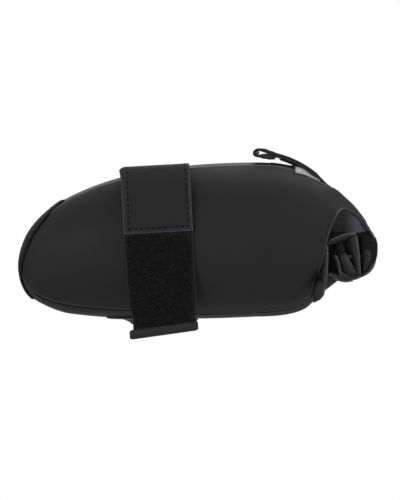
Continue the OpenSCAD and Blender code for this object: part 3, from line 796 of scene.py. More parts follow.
for side, half in ((-1, "near"), (1, "far")):
    joint = hump_joint(side, f"{half}_belt")
    strip = spread(belt_strip(across_belt, side, 0, REINFORCE_END + 2), stops(120, 0.002))
    piece = cloth(f"{half}_strap", belt_world(strip), BELT, BELT_MIDDLE, flush="cd")
    nodes = ["belt_centre", f"{half}_band"] if half == "near" else [f"{half}_band"]
    dress(piece, belt_finish, nodes, joint=joint)
    # The reinforcement has a bound edge down both sides, and one lower corner has lifted a little.
    strip = spread(belt_strip(across_belt * 0.998, side, RAIL_Y + 5.4, REINFORCE_END), stops(80, 0.004))
    x, z = strip[..., 0], strip[..., 2]
    corner = ramp(x, 9, 21) * ramp(z, REINFORCE_END + 5, REINFORCE_END)
    groove = 0.28 * (bell(x + HALF - 3.6, 0.5) + bell(x - HALF + 2.6, 0.5))
    groove = groove + 0.25 * bell(z - REINFORCE_END - 3, 0.45)
    lift = BELT + LAYER_GAP + 0.34 * bell(np.abs(x) - HALF + 1.0, 0.7) - groove + 2.6 * corner**2
    piece = cloth(f"{half}_backing", belt_world(strip), REINFORCE, BELT_MIDDLE, lift=lift)
    dress(piece, belt_finish, [f"{half}_reinforcement"], joint=joint)

# Near tail: the end of the near half, which bends up at the corner of the bag. Its loop tape
# tapers to a folded end tab that a thumb lifts.
near_fold = ("near_belt", "near_tail", belt_world([0, -42, FOLD_Z + 1.5]), belt_world([0, -42, FOLD_Z - 2]))


def near_flat(top_z, bottom_z, half, rows, cut_front, cut_rear):
    """Rows down the near tail. Its front and rear corners are trimmed back by the two cuts."""
    c = (2 * stops(30, 0.012) - 1)[None, :]
    z = (top_z + (bottom_z - top_z) * stops(rows, 0.006))[:, None]
    taper = ramp(z, FOLD_Z + 3, FOLD_Z - 8) ** 1.2
    return stacked(c * (half - np.where(c < 0, cut_front, cut_rear) * taper), -BELT_SIDE, z)


band = near_flat(REINFORCE_END + 2, TAIL_BOTTOM - 2, HALF, 60, 2.4, 0.9)
piece = cloth("near_tail_strap", belt_world(band), BELT, BELT_MIDDLE, flush="a")
dress(piece, tail_shade_finish, ["near_tail_band"], joint=near_fold)

TAPE_HALF, TAPE_ASIDE = 20, 0.6
tape = near_flat(REINFORCE_END - 0.1, TAIL_BOTTOM, TAPE_HALF, 70, 2.2, 0.9) - [TAPE_ASIDE, 0, 0]
lift = BELT + LAYER_GAP + 0.14 * ripple(tape, 6, 21) + 0.10 * ripple(tape, 2.4, 22)
piece = cloth("near_tape", belt_world(tape), LOOP_TAPE - 0.5, BELT_MIDDLE, lift=lift)
dress(piece, pile_finish, ["near_loop_tape", "near_tail_tape"], joint=near_fold)
TAB_TILT = tan(radians(4.8))
TAB_HEIGHT, TAB_THICK = 6.0, 4.05
tab_y = -(BELT_SIDE + (BELT + LAYER_GAP + LOOP_TAPE) / 2)
around = np.linspace(0, 2 * np.pi, 41)[:-1]
rings = []
for x in HALF * (2 * stops(40, 0.012) - 1):
    close = (1 - min(1, max(0, abs(x) - HALF + 2.2) / 2.25) ** 2) ** 0.5
    y = TAB_THICK / 2 * (0.4 + 0.6 * close) * np.cos(around)
    z = TAB_HEIGHT / 2 * (0.55 + 0.45 * close) * np.sign(np.sin(around)) * np.abs(np.sin(around)) ** 0.75
    rings.append(stacked(x, tab_y + y, TAIL_BOTTOM - TAB_HEIGHT / 2 - 0.2 + x * TAB_TILT + z))
piece = tube("near_thumb_tab", belt_world(np.array(rings)))
tab_finish = material("end_tab", coated(0.014, 0.04, warm=-0.05, rough=0.5, weave_height=0.35, shine=0.2))
dress(piece, tab_finish, ["near_end_tab"], "near_tail")

# Far tail: the end of the far half, folded under the bag with its hooks up, slipping forwards.
FOLD_RADIUS, TAIL_TURN, TAIL_DROP, TAIL_RISE = 5, radians(16), 3.0, 3.2
HOOK_GAP = 0.3
FAR_TAIL_LENGTH, HOOK_TAPE = 54, 1.0
FAR_FOLD_Z = CORNER - TAIL_DROP + FOLD_RADIUS + 0.5
TAIL_FOLD = FOLD_RADIUS * np.pi / 2
TAIL_END = TAIL_FOLD + FAR_TAIL_LENGTH


def far_tail_grid(s, off, half):
    """Rows of the far tail at distance s from its fold, raised by off from its upper face."""
    s = np.asarray(s, float)[:, None]
    a = np.minimum(np.pi / 2, s / FOLD_RADIUS)
    flat = np.maximum(0, s - TAIL_FOLD)
    eased = np.minimum(1, flat / 20)
    yaw = TAIL_TURN * eased
    c = half * (2 * stops(30, 0.012) - 1)[None, :]
    x = -flat * sin(TAIL_TURN) * eased + np.cos(yaw) * c
    y = BELT_SIDE - FOLD_RADIUS * (1 - np.cos(a)) - flat * cos(TAIL_TURN) - np.sin(yaw) * c
    z = CORNER - TAIL_DROP + FOLD_RADIUS * (1 - np.sin(a)) + TAIL_RISE * flat / FAR_TAIL_LENGTH
    return stacked(x, y + np.cos(a) * off, z - np.sin(a) * off - 0.09 * eased * x)


far_fold = (
    "far_belt", "far_tail", belt_world([0, 42, FAR_FOLD_Z + 5]), belt_world([0, 42, FAR_FOLD_Z - 1.5]),
)
TAIL_MIDDLE = (0, 0, -60)
z = np.linspace(REINFORCE_END + 2, FAR_FOLD_Z, 40)[:-1, None]
straight = stacked(across_belt[None, :], BELT_SIDE, z)
band = np.concatenate([straight, far_tail_grid(TAIL_END * stops(90, 0.004), 0, HALF)])
piece = cloth("far_tail_strap", belt_world(band), BELT, TAIL_MIDDLE, flush="a")
dress(piece, tail_shade_finish, ["far_tail_band"], joint=far_fold)
hooks = far_tail_grid(TAIL_FOLD + 6 + (FAR_TAIL_LENGTH - 12) * stops(40, 0.01), -HOOK_GAP - HOOK_TAPE, 20)
piece = cloth("far_hooks", belt_world(hooks), HOOK_TAPE, TAIL_MIDDLE)
dress(piece, hook_finish, ["far_hook_tape"], "far_tail")
end = far_tail_grid(TAIL_END - 6 + 6 * stops(8, 0.04), BELT + LAYER_GAP, HALF)
piece = cloth("far_thumb_tab", belt_world(end), 1.0, TAIL_MIDDLE)
dress(piece, tab_finish, ["far_end_tab"], "far_tail")

# ---- Rear flap and mouth --------------------------------------------------------------------
# The emptied mouth falls in behind the load. Its upper fabric is the rear flap, with a hemmed
# arch at each side, and its lower fabric runs from the base up to the roll.
REAR_FRAMES = [
    [107.6, -9.4, 98.4, -79.6, 36.3], [113, -13.5, 103, -75.5, 36.2], [120, -20.2, 108, -72, 36],
    [127, -28.5, 110.5, -70, 35.6], [132.6, -36.6, 111.5, -69, 35.2],
]
# How far the arch hangs below the crest, at each half step of a rear frame
LIP_DROPS = [[58], [29.5], [14.5], [7.2], [4.7], [3.4], [2.6], [2.2], [2.0]]
MOUTH_NORMAL = np.array([0.9916, 0, -0.129])
MOUTH_START = np.array([107.2, 0, -9])
MOUTH_STRETCH = 6.5
mouth_joint = ("bag", "roll", MOUTH_START, MOUTH_START + MOUTH_NORMAL * MOUTH_STRETCH)
REAR_MIDDLE = (112, 0, -55)


def lip_angle(v):
    drop = spline(LIP_DROPS, 2 * np.asarray(v, float))[..., 0]
    k = 1 - drop / half_height(REAR_FRAMES, v)
    return np.sign(k) * np.arcsin(np.abs(k) ** (np.where(k >= 0, TOP_ROUND, BOTTOM_ROUND) / 2))


def arch_rows(frames, u, v):
    """Rows over the crest of some frames at u, as far down each side as the arch is at v."""
    return rows_over(frames, u[:, None], 1, lip_angle(v)[:, None], stops(120, 0.004), 321)


# The first row lies on the mouth of the body, so that the side fabric runs on without a gap.
v_rows = np.concatenate([np.linspace(0, 1.2, 46)[:-1], np.linspace(1.2, 4, 60)])
first = arch_rows(FRAMES, np.full(1, float(LAST)), v_rows[:1])
flap = np.concatenate([first, arch_rows(REAR_FRAMES, v_rows, v_rows)])
flap[..., 0] -= drawn_in(flap)
free = ramp(flap[..., 0], 104, 112) * ramp(np.abs(flap[..., 1]), 11, 17)
wrinkle = 0.35 * ripple(flap, 12, 31) * free + beside_webbing(flap)
panel("rear_hood", flap, REAR_MIDDLE, side_finish, "coated_fabric", "rear_flap", "stretched",
      joint=mouth_joint, flush="a", lift=wrinkle)
# Hem: the turned edge of the side fabric, up the mouth from the base and round the arch; its pale tone is a
# painted highlight.
hem_highlight_finish = material("hem", coated(0.024, 0.04, warm=-0.01, rough=0.5, weave_height=0.2, shine=0.3))
for side, name in ((-1, "left"), (1, "right")):
    low = np.linspace(float(bottom_seam(LAST)) + 0.02, float(lip_angle(0.0)), 60)
    rise = frame_point(FRAMES, np.full(60, float(LAST)), low, side)
    v = np.linspace(0.02, 3.98, 150)
    arch = frame_point(REAR_FRAMES, v, lip_angle(v), side)
    path = np.concatenate([rise[:-4], arch[4:]])
    path = spread(path[None], np.linspace(0, 1, 200))[0]
    path[1:-1] = (path[:-2] + 2 * path[1:-1] + path[2:]) / 4
    path[:, 1] -= side * 0.2
    path[:, 0] += 0.35 - drawn_in(path)
    piece = tube(f"{name}_hem", rope(path, np.interp(path[:, 2], [-78, -50, -20], [0.34, 0.45, 0.62])))
    dress(piece, hem_highlight_finish, [], joint=mouth_joint)
# Lower flap: from the bottom of the mouth up to the underside of the roll.
v = 2.6 * stops(40, 0.01)
low = np.radians(-24 - 28 * v / 2.6)
grid = rows_over(REAR_FRAMES, v[:, None], -1, low[:, None], stops(100, 0.004), 321)
wrinkle = 0.4 * ripple(grid, 11, 41) * ramp(grid[..., 0], 99, 104)
panel("lower_mouth", grid, (110, 0, -40), base_finish, "base_fabric", "rear_lower_flap", "gathered",
      joint=mouth_joint, flush="a", lift=wrinkle)

# ---- Folds at the mouth's ends --------------------------------------------------------------
# The side fabric folds in on itself as the mouth is rolled: an inner fold under each arch, and
# puffed pleats that stick out of each end of the roll. It is the same cloth, lined side out.
ROLL_X, ROLL_Z = 122.2, -53.2
STRAIGHT_EDGE = -38.6
# Painted light: the folds' dark tone is painted shade of the mouth's hollows, and their pale edge tone is
# painted highlight on the turned edges and towards the rear.
fold_painted_light_finish = material("fold_fabric_painted_light", coated(0.0036, 0.150, rough=0.5, weave_height=0.4, shine=0.16))
# Dark inner cloth: its coarse weave is its own, and its dark tone is also painted shade where it fills the
# cavity behind the folds and the ends of the roll.
lining_and_shade_finish = material("lining_and_painted_shade", coated(0.0050, 0.016, warm=0.0, rough=0.7, weave_height=1.2, shine=0.12))


def arch_fill(side):
    """Inner fold: from inside the arch down to a straight crease, then in under the flap."""
    v = 0.28 + 3.6 * stops(56, 0.01)
    lip = frame_point(REAR_FRAMES, v, lip_angle(v), side)
    lip[:, 1] -= side * 1.3
    rows = []
    for p in lip:
        drop = max(0.0, p[2] - STRAIGHT_EDGE)
        t = np.linspace(0, 1, 40)
        deep = 2.8 * bell(p[0] - 106, 6.0) + 1.0 * ramp(p[0], 112, 132) ** 1.5
        hollow = deep * np.sin(np.pi * t / 2) ** 0.7 * min(1, drop / 7)
        face = stacked(p[0] + 0.4 * t, p[1] - side * (hollow + 0.5 * t), p[2] - drop * t)
        under = face[-1] + stacked(0 * t, -side * 9 * t, 2.6 * t)
        rows.append(np.concatenate([face, under[1:]]))
    return spread(np.array(rows), stops(70, 0.006))


def edges_grid(one, other, rows, cols):
    """A ruled sheet between two edge curves of x and z, and each point's share of the way over."""
    s, t = stops(rows, 0.02), np.linspace(0, 1, cols)[None, :, None]
    one, other = (spline(e, s * (len(e) - 1))[:, None] for e in (one, other))
    return s, one * (1 - t) + other * t, (other - one)[:, 0]


def turned_fold(one, other, y, deep, crown, tuck, side, curl=0.55):
    """A fold of cloth that comes up out of the dark at one edge and turns back at the other, with a painted
    highlight mask that grows across it and is strongest on the turn.
    """
    s, flat, over = edges_grid(one, other, 34, 22)
    t = np.linspace(0, 1, 22)[None, :]
    depth = y - deep * (1 - t) ** 2 + crown * np.sin(np.pi * t) ** 1.5
    depth = depth - tuck * np.abs(2 * s - 1)[:, None] ** 7
    over = unit(over)
    a = np.radians(np.linspace(80, -110, 9))[None, :]
    turned = flat[:, -1:] + over[:, None] * (curl * np.cos(a))[..., None]
    back = depth[:, -1:] + curl * (np.sin(a) - 1)
    flat, depth = np.concatenate([flat, turned], 1), np.concatenate([depth, back], 1)
    # Painted highlight: the fold turns paler towards its turned edge and on the turn's crest.
    edge_share = np.concatenate([0.03 + 0.2 * t**3, 0.6 * np.clip(np.cos(a - 0.5), 0, 1)], 1)
    return stacked(flat[..., 0], side * depth, flat[..., 1]), np.broadcast_to(edge_share, depth.shape)


def lining_wall(side):
    """The inner cloth at the back of the mouth's end, from the straight crease to the low outline: a dark
    sheet that is painted shade of the cavity.
    """
    top = [[103.5, -38.9], [113, -38.7], [122, -38.4], [132.6, -37.2]]
    low = [[95.4, -78.8], [102, -73.8], [112, -66.4], [129.6, -60.6]]
    t, flat, _ = edges_grid(top, low, 38, 40)
    flat, s = flat.swapaxes(0, 1), np.linspace(0, 1, 40)[:, None]
    y = 34.2 - 5.4 * np.sin(np.pi * np.minimum(t, 0.5)) ** 0.5 + 0.7 * np.sin(13 * t + 3 * s)
    return stacked(flat[..., 0], side * y, flat[..., 1])


FOLDS = [
    # One edge and the other as x and z, then y, how deep the first edge is, crown and end tuck
    ("curled strip", [[105.1, -46.2], [111.1, -44.8], [117.2, -42.6], [121.2, -40.4]],
     [[106.2, -44.4], [112.0, -41.6], [117.8, -39.8], [122.6, -39.3]], 35.2, 1.2, 0.9, 0.8),
    ("upright fold", [[117.4, -41.4], [118.9, -47.3], [121.4, -54.8], [124.0, -63.9]],
     [[122.9, -40.2], [124.0, -47.3], [124.9, -56.1], [125.4, -64.6]], 35.0, 3.4, 1.0, 1.4),
    ("slanting lobe", [[111.8, -53.4], [113.4, -59.2], [115.4, -65.6]],
     [[115.9, -51.4], [119.3, -56.9], [124.0, -64.6]], 34.2, 2.6, 1.6, 1.6),
    ("thin edge", [[109.6, -52.3], [111.2, -57.3], [112.8, -64.2]],
     [[110.5, -52.6], [112.6, -58.0], [113.9, -65.4]], 35.0, 4.0, 0.3, 1.2),
    ("left strip", [[104.4, -46.4], [102.9, -54.6], [102.2, -63.4], [101.5, -71.5]],
     [[105.0, -46.2], [105.2, -56.1], [104.6, -65.5], [103.0, -73.9]], 35.2, 2.8, 0.5, 1.0),
    ("low patch", [[105.2, -64.2], [109.2, -63.8], [113.2, -66.0]],
     [[104.4, -72.2], [106.9, -70.9], [112.0, -67.2]], 34.4, 1.2, 0.7, 0.6),
    ("upper rim", [[106.9, -62.9], [112.3, -64.8], [117.4, -66.4], [123.0, -65.4], [125.4, -64.4]],
     [[106.7, -63.7], [112.1, -65.7], [117.3, -67.2], [123.2, -66.2], [125.7, -65.0]], 35.4, 0.9, 0.2, 1.0),
    ("lower rim", [[110.2, -65.2], [113.8, -66.5], [117.4, -67.1], [120.6, -66.6]],
     [[109.8, -66.0], [113.6, -67.4], [117.4, -67.9], [120.9, -67.3]], 35.8, 0.9, 0.2, 1.6),
    ("corner patch", [[97.0, -81.4], [97.2, -75.8], [99.2, -68.0]],
     [[100.4, -79.6], [102.8, -75.8], [103.4, -68.6]], 34.6, 1.4, 0.8, 1.7),
    ("roll end", [[127.3, -40.2], [126.4, -47.3], [127.0, -56.1], [126.5, -64.7]],
     [[134.6, -41.4], [135.6, -46.7], [134.8, -54.6], [130.4, -61.6]], 34.6, 3.6, 0.2, 1.0),
    ("roll lobe", [[126.9, -49.4], [127.2, -55.6], [126.9, -62.6]],
     [[131.6, -48.6], [132.8, -54.4], [129.4, -61.2]], 34.2, 2.2, 1.5, 2.2),
]
WOVEN_FOLD = ([[109.6, -44.9], [110.4, -49.4], [111.4, -54.4]],
              [[114.2, -44.6], [115.8, -49.6], [117.9, -54.6]], 33.0, 4.6, 0.4, 1.6)


def joined(name, sheets, wall, away_from):
    """Several sheets of cloth as one piece: each is a grid with its painted highlight mask, or with none."""
    parts = []
    for grid, edge_share in sheets:
        outer, inner = wall_grids(grid, normals(grid, away_from), wall)
        points, faces, uv, edge, sharp = shell_arrays(outer, inner)
        edge = 0.25 * edge + (0 if edge_share is None else np.tile(edge_share.reshape(-1), 2))
        parts.append((points, faces, uv, np.minimum(edge, 1), sharp))
    base = np.cumsum([0] + [len(p[0]) for p in parts])
    faces = np.concatenate([p[1] + b for p, b in zip(parts, base)]).tolist()
    points, uv, edge, sharp = (np.concatenate([p[k] for p in parts]) for k in (0, 2, 3, 4))
    return new_piece(name, points, faces, uv, edge, sharp)


for side, name in ((-1, "left"), (1, "right")):
    away = (115, 0, -50)
    made = {fold[0]: turned_fold(*fold[1:], side) for fold in FOLDS}
    # The roll's end goes with the dark inner cloth, as painted shade.
    roll_end = made.pop("roll end")
    woven = turned_fold(*WOVEN_FOLD, side)
    piece = joined(f"{name}_pleats", list(made.values()), 0.6, away)
    dress(piece, fold_painted_light_finish, [f"{name}_gusset"], joint=mouth_joint)
    piece = joined(f"{name}_lining", [woven, roll_end, (lining_wall(side), None)], 0.6, away)
    dress(piece, lining_and_shade_finish, [], joint=mouth_joint)
    grid = arch_fill(side)
    # Painted highlight: the arch fold turns paler towards the rear, as if lit from there.
    arch_painted_highlight = 1.7 * ramp(grid[..., 0], 115, 131) ** 1.6
    piece = joined(f"{name}_arch_fold", [(grid, arch_painted_highlight)], 0.9, (112, side * 60, -20))
    dress(piece, fold_painted_light_finish, [], joint=mouth_joint)

# ---- Rolled mouth ---------------------------------------------------------------------------
# The mouth's edge is rolled up round a stiff strip: an outer turn that comes off the rear flap,
# and more turns inside it. The cloth is wider than it looks, so its turns buckle at the ends.
ROLL_RADIUS, TURN_PITCH, ROLL_START, ROLL_HALF, INNER_HALF = 14.3, 1.9, 22, 35, 27.5
OUTER_TURN, INNER_TURN = 300, 1150
WEBBING_SINK = 1.4
ROLL_LEAD = np.array([[135.5, -41.6], [133.1, -37.3]])


def roll_point(turned):
    a, r = np.radians(ROLL_START - turned), ROLL_RADIUS - TURN_PITCH * np.asarray(turned) / 360
    return stacked(ROLL_X + r * np.cos(a), ROLL_Z + r * np.sin(a))


def out_of(path):
    """Outward directions of a path of x and z that runs clockwise round the bag's rear."""
    way = unit(np.gradient(path, axis=0))
    return stacked(way[:, 1], -way[:, 0])


def web_grid(path, off, half, cols=22, rim=0.02):
    """A sheet across the bag that follows a path of x and z, moved out by off."""
    line = path + out_of(path) * off
    return stacked(line[:, 0:1], np.reshape(half, (-1, 1)) * (2 * stops(cols, rim) - 1), line[:, 1:2])


def smooth_path(path, count, rim=0.004):
    """A path again with even steps along it and finer ones at its ends."""
    flat = stacked(path[:, 0], 0, path[:, 1])
    fine = spline(flat, np.linspace(0, len(path) - 1, 12 * len(path)))
    return spread(fine[None], stops(count, rim))[0][:, [0, 2]]


roll_finish = material("roll_fabric", coated(0.0100, 0.030, rough=0.55, weave_height=0.5, shine=0.2))
path = smooth_path(np.concatenate([roll_point(np.arange(OUTER_TURN, -1, -15)), ROLL_LEAD]), 150)
# The turn's start, which faces the load, is gathered in between the end folds.
tucked = ramp(path[:, 0], 121, 116) * ramp(path[:, 1], -62, -57)
grid = web_grid(path, -FABRIC, ROLL_HALF - (ROLL_HALF - INNER_HALF) * tucked, 60, 0.01)
aside = np.abs(grid[..., 1])
ends = ramp(aside, 24, 35) ** 2
lift = ramp(aside, 11, 15) * (0.30 * ripple(grid, 14, 51) + 0.5 * ends * ripple(grid, 7, 52)) - 0.8 * ends
lift -= WEBBING_SINK * ramp(aside, 12.5, 10.3)
piece = cloth("outer_roll", grid, FABRIC, (ROLL_X, 0, ROLL_Z), lift=lift)
dress(piece, roll_finish, ["roll_outer"], "roll")
cut_flat(grid)
path = smooth_path(roll_point(np.arange(INNER_TURN, OUTER_TURN + 2, -12)), 260, 0.002)
grid = web_grid(path, -FABRIC, INNER_HALF, 24, 0.01)
piece = cloth("inner_roll", grid, FABRIC * 0.85, (ROLL_X, 0, ROLL_Z))
dress(piece, lining_and_shade_finish, ["roll_inner"], "roll")
cut_flat(grid)

# ---- Closure webbing ------------------------------------------------------------------------
# Ribbed webbing sewn to the underside of the roll. It wraps the roll, runs up the flap and ends
# as a tab that hooks to the crest, with its end folded back on itself as a pull loop.
WEBBING_HALF, WEBBING, WRAP_GAP = 10, 1.5, 0.2
webbing_finish = material("webbing", webbed(0.0125, 0.030))
crest_up = frame_point(REAR_FRAMES, np.linspace(3.65, 0.12, 11), np.pi / 2, 1)[:, [0, 2]]
crest_up = crest_up - out_of(crest_up) * pulled_in(crest_up[:, 0])[:, None]
roll_round = np.concatenate([roll_point(np.linspace(152, 4, 13)), ROLL_LEAD])
roll_round = roll_round - out_of(roll_round) * WEBBING_SINK
wrap_line = smooth_path(np.concatenate([roll_round, crest_up]), 150)
piece = cloth("wrap_webbing", web_grid(wrap_line, WRAP_GAP, WEBBING_HALF), WEBBING, (116, 0, -52))
dress(piece, webbing_finish, ["closure_wrap"], "roll")

TAB_PATH = np.array([
    [110.6, -13.6], [108.6, -11.9], [106.2, -9.9], [102.5, -7.0], [97.5, -3.0], [92.5, 0.6], [87.5, 3.5],
    [82.5, 5.8], [77.5, 7.6], [73.6, 8.6],
])
TAB_MIDDLE = (90, 0, -60)
tab_joint = ("bag", "tab", np.array([108.2, 0, -8.9]), np.array([103.8, 0, -5.6]))
path = smooth_path(TAB_PATH, 70)
piece = cloth("tab_webbing", web_grid(path, 0, WEBBING_HALF), WEBBING, TAB_MIDDLE)
dress(piece, webbing_finish, ["closure_tab"], joint=tab_joint)
on_tab = path + out_of(path) * (WEBBING + 0.05)
fold_path = smooth_path(on_tab[(on_tab[:, 0] < 105) & (on_tab[:, 0] > 73)][::3], 60)
thinned = 1.1 * np.clip(stops(60, 0.004) * 4.5, 0.12, 1).reshape(-1, 1, 1)
piece = cloth("tab_fold", web_grid(fold_path, 0, WEBBING_HALF - 0.3), thinned, TAB_MIDDLE)
dress(piece, webbing_finish, [], "tab")
hook_path = path[(path[:, 0] < 93.5) & (path[:, 0] > 76)]
piece = cloth("tab_hooks", web_grid(hook_path, -LAYER_GAP - 1.0, WEBBING_HALF - 1), 1.0, TAB_MIDDLE)
dress(piece, hook_finish, ["closure_hook_tape"], "tab")

# Pull loop: the webbing turned back round a hard bead, so that a gloved finger finds the hole.
LOOP_PATH = np.array([
    [74.4, 9.0], [71.8, 10.1], [69.8, 10.6], [68.2, 11.2], [66.5, 11.8], [64.6, 12.4], [62.8, 12.7],
    [61.4, 12.2], [60.8, 11.3], [61.3, 10.2], [62.7, 9.9], [64.5, 10.3], [66.5, 10.6], [68.2, 10.7],
    [69.8, 10.4], [71.8, 10.0], [74.4, 8.8],
])
path = smooth_path(LOOP_PATH, 80, 0.01)
under = np.arange(len(path)) > np.argmin(path[:, 0])
thick_under = np.interp(path[:, 0], [60.8, 62.7, 66.5, 71.8, 74.4], [0.9, 1.3, 3.1, 3.2, 1.9])
thick_over = np.interp(path[:, 0], [60.8, 64, 67, 74.4], [0.9, 1.5, 2.3, 2.0])
wall = np.where(under, thick_under, thick_over)[:, None, None]
piece = cloth("loop_webbing", web_grid(path, 0, WEBBING_HALF - 0.5, 20), wall, (67, 0, 11.3))
dress(piece, webbing_finish, ["pull_loop"], "tab")
bead_finish = material("bead", coated(0.060, 0.12, warm=0.0, rough=0.5, weave_height=0.6, shine=0.4))
piece = tube("loop_bead", rope(stacked(62.5, np.linspace(-9.3, 9.3, 24), 11.35), 1.5, 18))
dress(piece, bead_finish, [], "tab")

# ---- Sewing ---------------------------------------------------------------------------------
# Bonded thread, lockstitched through every layer: down the edges and across the end of each
# reinforcement, across the belt's middle, and through the ends of the closure webbing.
STITCH_PITCH, STITCH_LENGTH, STITCH_THICK = 3.5, 2.3, 0.75


def thread(s):
    twist = noise(s, 0.0006)
    return {"Base Color": twist.mix(grey(0.002), grey(0.006)), "Roughness": 0.6 + 0.2 * twist,
            "Specular IOR Level": 0.06}


thread_finish = material("thread", thread)


def group_tree(name, sockets):
    """An empty Geometry Nodes tree with these named inputs: it, its inputs and its result."""
    made = bpy.data.node_groups.new(name, "GeometryNodeTree")
    for socket, kind in [("Geometry", "Geometry"), *sockets]:
        made.interface.new_socket(socket, in_out="INPUT", socket_type="NodeSocket" + kind)
    made.interface.new_socket("Geometry", in_out="OUTPUT", socket_type="NodeSocketGeometry")
    return made, made.nodes.new("NodeGroupInput").outputs, made.nodes.new("NodeGroupOutput").inputs[0]


def grown(name, seed_piece, tree, values):
    """The plain mesh that a Geometry Nodes tree grows from a piece, with its inputs set by name."""
    modifier = seed_piece.modifiers.new("grow", "NODES")
    modifier.node_group = tree
    for item in tree.interface.items_tree:
        if item.in_out == "INPUT" and item.name in values:
            modifier[item.identifier] = values[item.name]
    seed_piece.update_tag()
    bpy.context.view_layer.update()
    graph = bpy.context.evaluated_depsgraph_get()
    mesh = bpy.data.meshes.new_from_object(seed_piece.evaluated_get(graph), depsgraph=graph)
    bpy.data.objects.remove(seed_piece)
    made = bpy.data.objects.new(name, mesh)
    bpy.context.scene.collection.objects.link(made)
    return made


def wired(tree, kind, inputs=None, out=0, **settings):
    """One output of a new node, with its settings, and its inputs linked or set."""
    made = tree.nodes.new(kind)
    for key, value in settings.items():
        setattr(made, key, value)
    for key, value in (inputs or {}).items():
        if isinstance(value, bpy.types.NodeSocket):
            tree.links.new(value, made.inputs[key])
        else:
            made.inputs[key].default_value = value
    return made.outputs[out]


def lay(tree, result, points, instance, rotation, scale, finish):
    """Ends a tree: a copy on each point, as real geometry that is smooth and has its material."""
    laid = wired(tree, "GeometryNodeInstanceOnPoints", {
        "Points": points, "Instance": instance, "Rotation": rotation, "Scale": scale,
    })
    real = wired(tree, "GeometryNodeRealizeInstances", {"Geometry": laid})
    smooth = wired(tree, "GeometryNodeSetShadeSmooth", {"Geometry": real})
    done = wired(tree, "GeometryNodeSetMaterial", {"Geometry": smooth, "Material": finish})
    tree.links.new(done, result)


def stitch_grower():
    sockets = [("Pitch", "Float"), ("Length", "Float"), ("Thickness", "Float"), ("Thread", "Material")]
    t, given, result = group_tree("stitch rows", sockets)
    row = wired(t, "GeometryNodeMeshToCurve", {"Mesh": given["Geometry"]})
    row = wired(t, "GeometryNodeResampleCurve", {"Curve": row, "Length": given["Pitch"]}, mode="LENGTH")
    along = wired(t, "GeometryNodeInputTangent")
    turn = wired(t, "FunctionNodeAlignRotationToVector", {"Vector": along}, axis="X")
    ball = wired(t, "GeometryNodeMeshUVSphere", {"Segments": 8, "Rings": 5, "Radius": 0.5})
    thick = given["Thickness"]
    size = wired(t, "ShaderNodeCombineXYZ", {"X": given["Length"], "Y": thick, "Z": thick})
    lay(t, result, row, ball, turn, size, given["Thread"])
    return t


stitch_tree = stitch_grower()


def stitches(name, rows):
    """Stitches along rows of points in mm, as one piece."""
    base = np.cumsum([0] + [len(r) for r in rows])
    mesh = bpy.data.meshes.new(name + "_rows")
    lines = [(int(b + i), int(b + i + 1)) for b, r in zip(base, rows) for i in range(len(r) - 1)]
    mesh.from_pydata((np.concatenate(rows) * MM).tolist(), lines, [])
    seed_piece = bpy.data.objects.new(name + "_rows", mesh)
    bpy.context.scene.collection.objects.link(seed_piece)
    return grown(name, seed_piece, stitch_tree, {
        "Pitch": STITCH_PITCH * MM, "Length": STITCH_LENGTH * MM, "Thickness": STITCH_THICK * MM,
        "Thread": thread_finish,
    })


EDGE_ROWS = (-HALF + 3.6, HALF - 2.6)
for side, half in ((-1, "near"), (1, "far")):
    strip = belt_world(belt_strip(np.linspace(*EDGE_ROWS, 3), side, RAIL_Y + 6.2, REINFORCE_END + 3))
    lift = BELT + LAYER_GAP + REINFORCE - 0.05
    raised = strip + normals(strip, BELT_MIDDLE) * lift
    rows = [raised[0], raised[2]]
    y = side * (BELT_SIDE + lift)
    rows.append(belt_world([[x, y, REINFORCE_END + 3] for x in np.linspace(*EDGE_ROWS, 20)]))
    piece = stitches(f"{half}_sewing", rows)
    dress(piece, thread_finish, [f"{half}_stitching"], joint=hump_joint(side, f"{half}_belt"))

rows = []
for y in (-2.5, 2.5):
    xs = np.linspace(-HALF + 3, HALF - 3, 30)
    rows.append(belt_world([[x, y, crest_local(x) + LAYER_GAP + BELT + 0.1] for x in xs]))
piece = stitches("centre_sewing", rows)
dress(piece, thread_finish, ["belt_centre_stitching"], "bag")


def across_rows(path, places, off, half):
    """Rows of stitches across the webbing at steps along its path, moved out by off."""
    line = path + out_of(path) * off
    return [stacked(line[i, 0], np.linspace(-half, half, 12), line[i, 1]) for i in places]


piece = stitches("wrap_sewing", across_rows(wrap_line, (9, 15), WRAP_GAP + WEBBING - 0.1, 8))
dress(piece, thread_finish, ["closure_wrap_stitching"], "roll")
piece = stitches("tab_sewing", across_rows(fold_path, (15, 19, 48), 0.95, 8))
dress(piece, thread_finish, ["closure_tab_stitching"], "tab")

# ---- Loop pile ------------------------------------------------------------------------------
# Fine nylon loops brushed up from the tape's face, lying every way, that the hooks catch.
PILE_SEED = 7


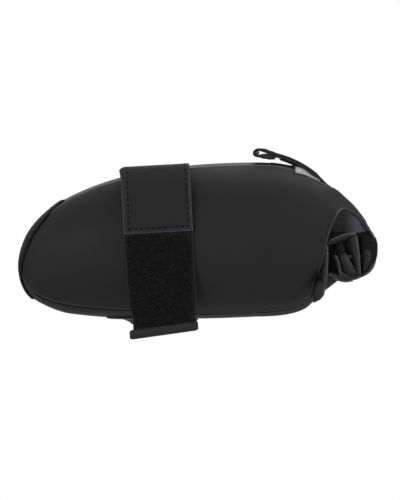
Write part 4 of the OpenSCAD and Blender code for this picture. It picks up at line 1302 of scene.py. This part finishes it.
def pile_grower():
    sockets = [
        ("Density", "Float"), ("Height", "Float"), ("Strand", "Float"), ("Seed", "Int"), ("Yarn", "Material"),
    ]
    t, given, result = group_tree("loop pile", sockets)
    seed = given["Seed"]
    spots = wired(t, "GeometryNodeDistributePointsOnFaces", {
        "Mesh": given["Geometry"], "Density": given["Density"], "Seed": seed,
    })
    spin = {"Min": (-0.7, -0.7, 0.0), "Max": (0.7, 0.7, 6.28), "Seed": seed}
    spin = wired(t, "FunctionNodeRandomValue", spin, data_type="FLOAT_VECTOR")
    facing = {"Rotation": spots.node.outputs["Rotation"], "Rotate By": spin}
    facing = wired(t, "FunctionNodeRotateRotation", facing, rotation_space="LOCAL")
    arc = wired(t, "GeometryNodeCurveQuadraticBezier", {
        "Resolution": 5, "Start": (-0.45, 0.0, -0.15), "Middle": (0.0, 0.25, 1.7), "End": (0.45, 0.0, -0.15),
    })
    ring = wired(t, "GeometryNodeCurvePrimitiveCircle", {"Resolution": 3, "Radius": given["Strand"]})
    strand = wired(t, "GeometryNodeCurveToMesh", {"Curve": arc, "Profile Curve": ring})
    size = wired(t, "FunctionNodeRandomValue", {2: 0.6, 3: 1.35, "Seed": seed}, out=1, data_type="FLOAT")
    tall = wired(t, "ShaderNodeMath", {0: size, 1: given["Height"]}, operation="MULTIPLY")
    lay(t, result, spots, strand, facing, tall, given["Yarn"])
    return t


bed = near_flat(REINFORCE_END - 0.8, TAIL_BOTTOM + 0.3, TAPE_HALF - 0.5, 20, 2.2, 0.9)
bed = belt_world(bed - [TAPE_ASIDE, BELT + LAYER_GAP + LOOP_TAPE - 0.55, 0])
rows, cols = bed.shape[:2]
ids = np.arange(rows * cols).reshape(rows, cols)
quads = np.stack([ids[:-1, :-1], ids[1:, :-1], ids[1:, 1:], ids[:-1, 1:]], -1).reshape(-1, 4).tolist()
values = {"Density": 1.9e6, "Height": 0.95 * MM, "Strand": 0.085, "Seed": PILE_SEED, "Yarn": pile_finish}
piece = grown("near_pile", new_piece("pile_bed", bed.reshape(-1, 3), quads), pile_grower(), values)
dress(piece, pile_finish, [], joint=near_fold)
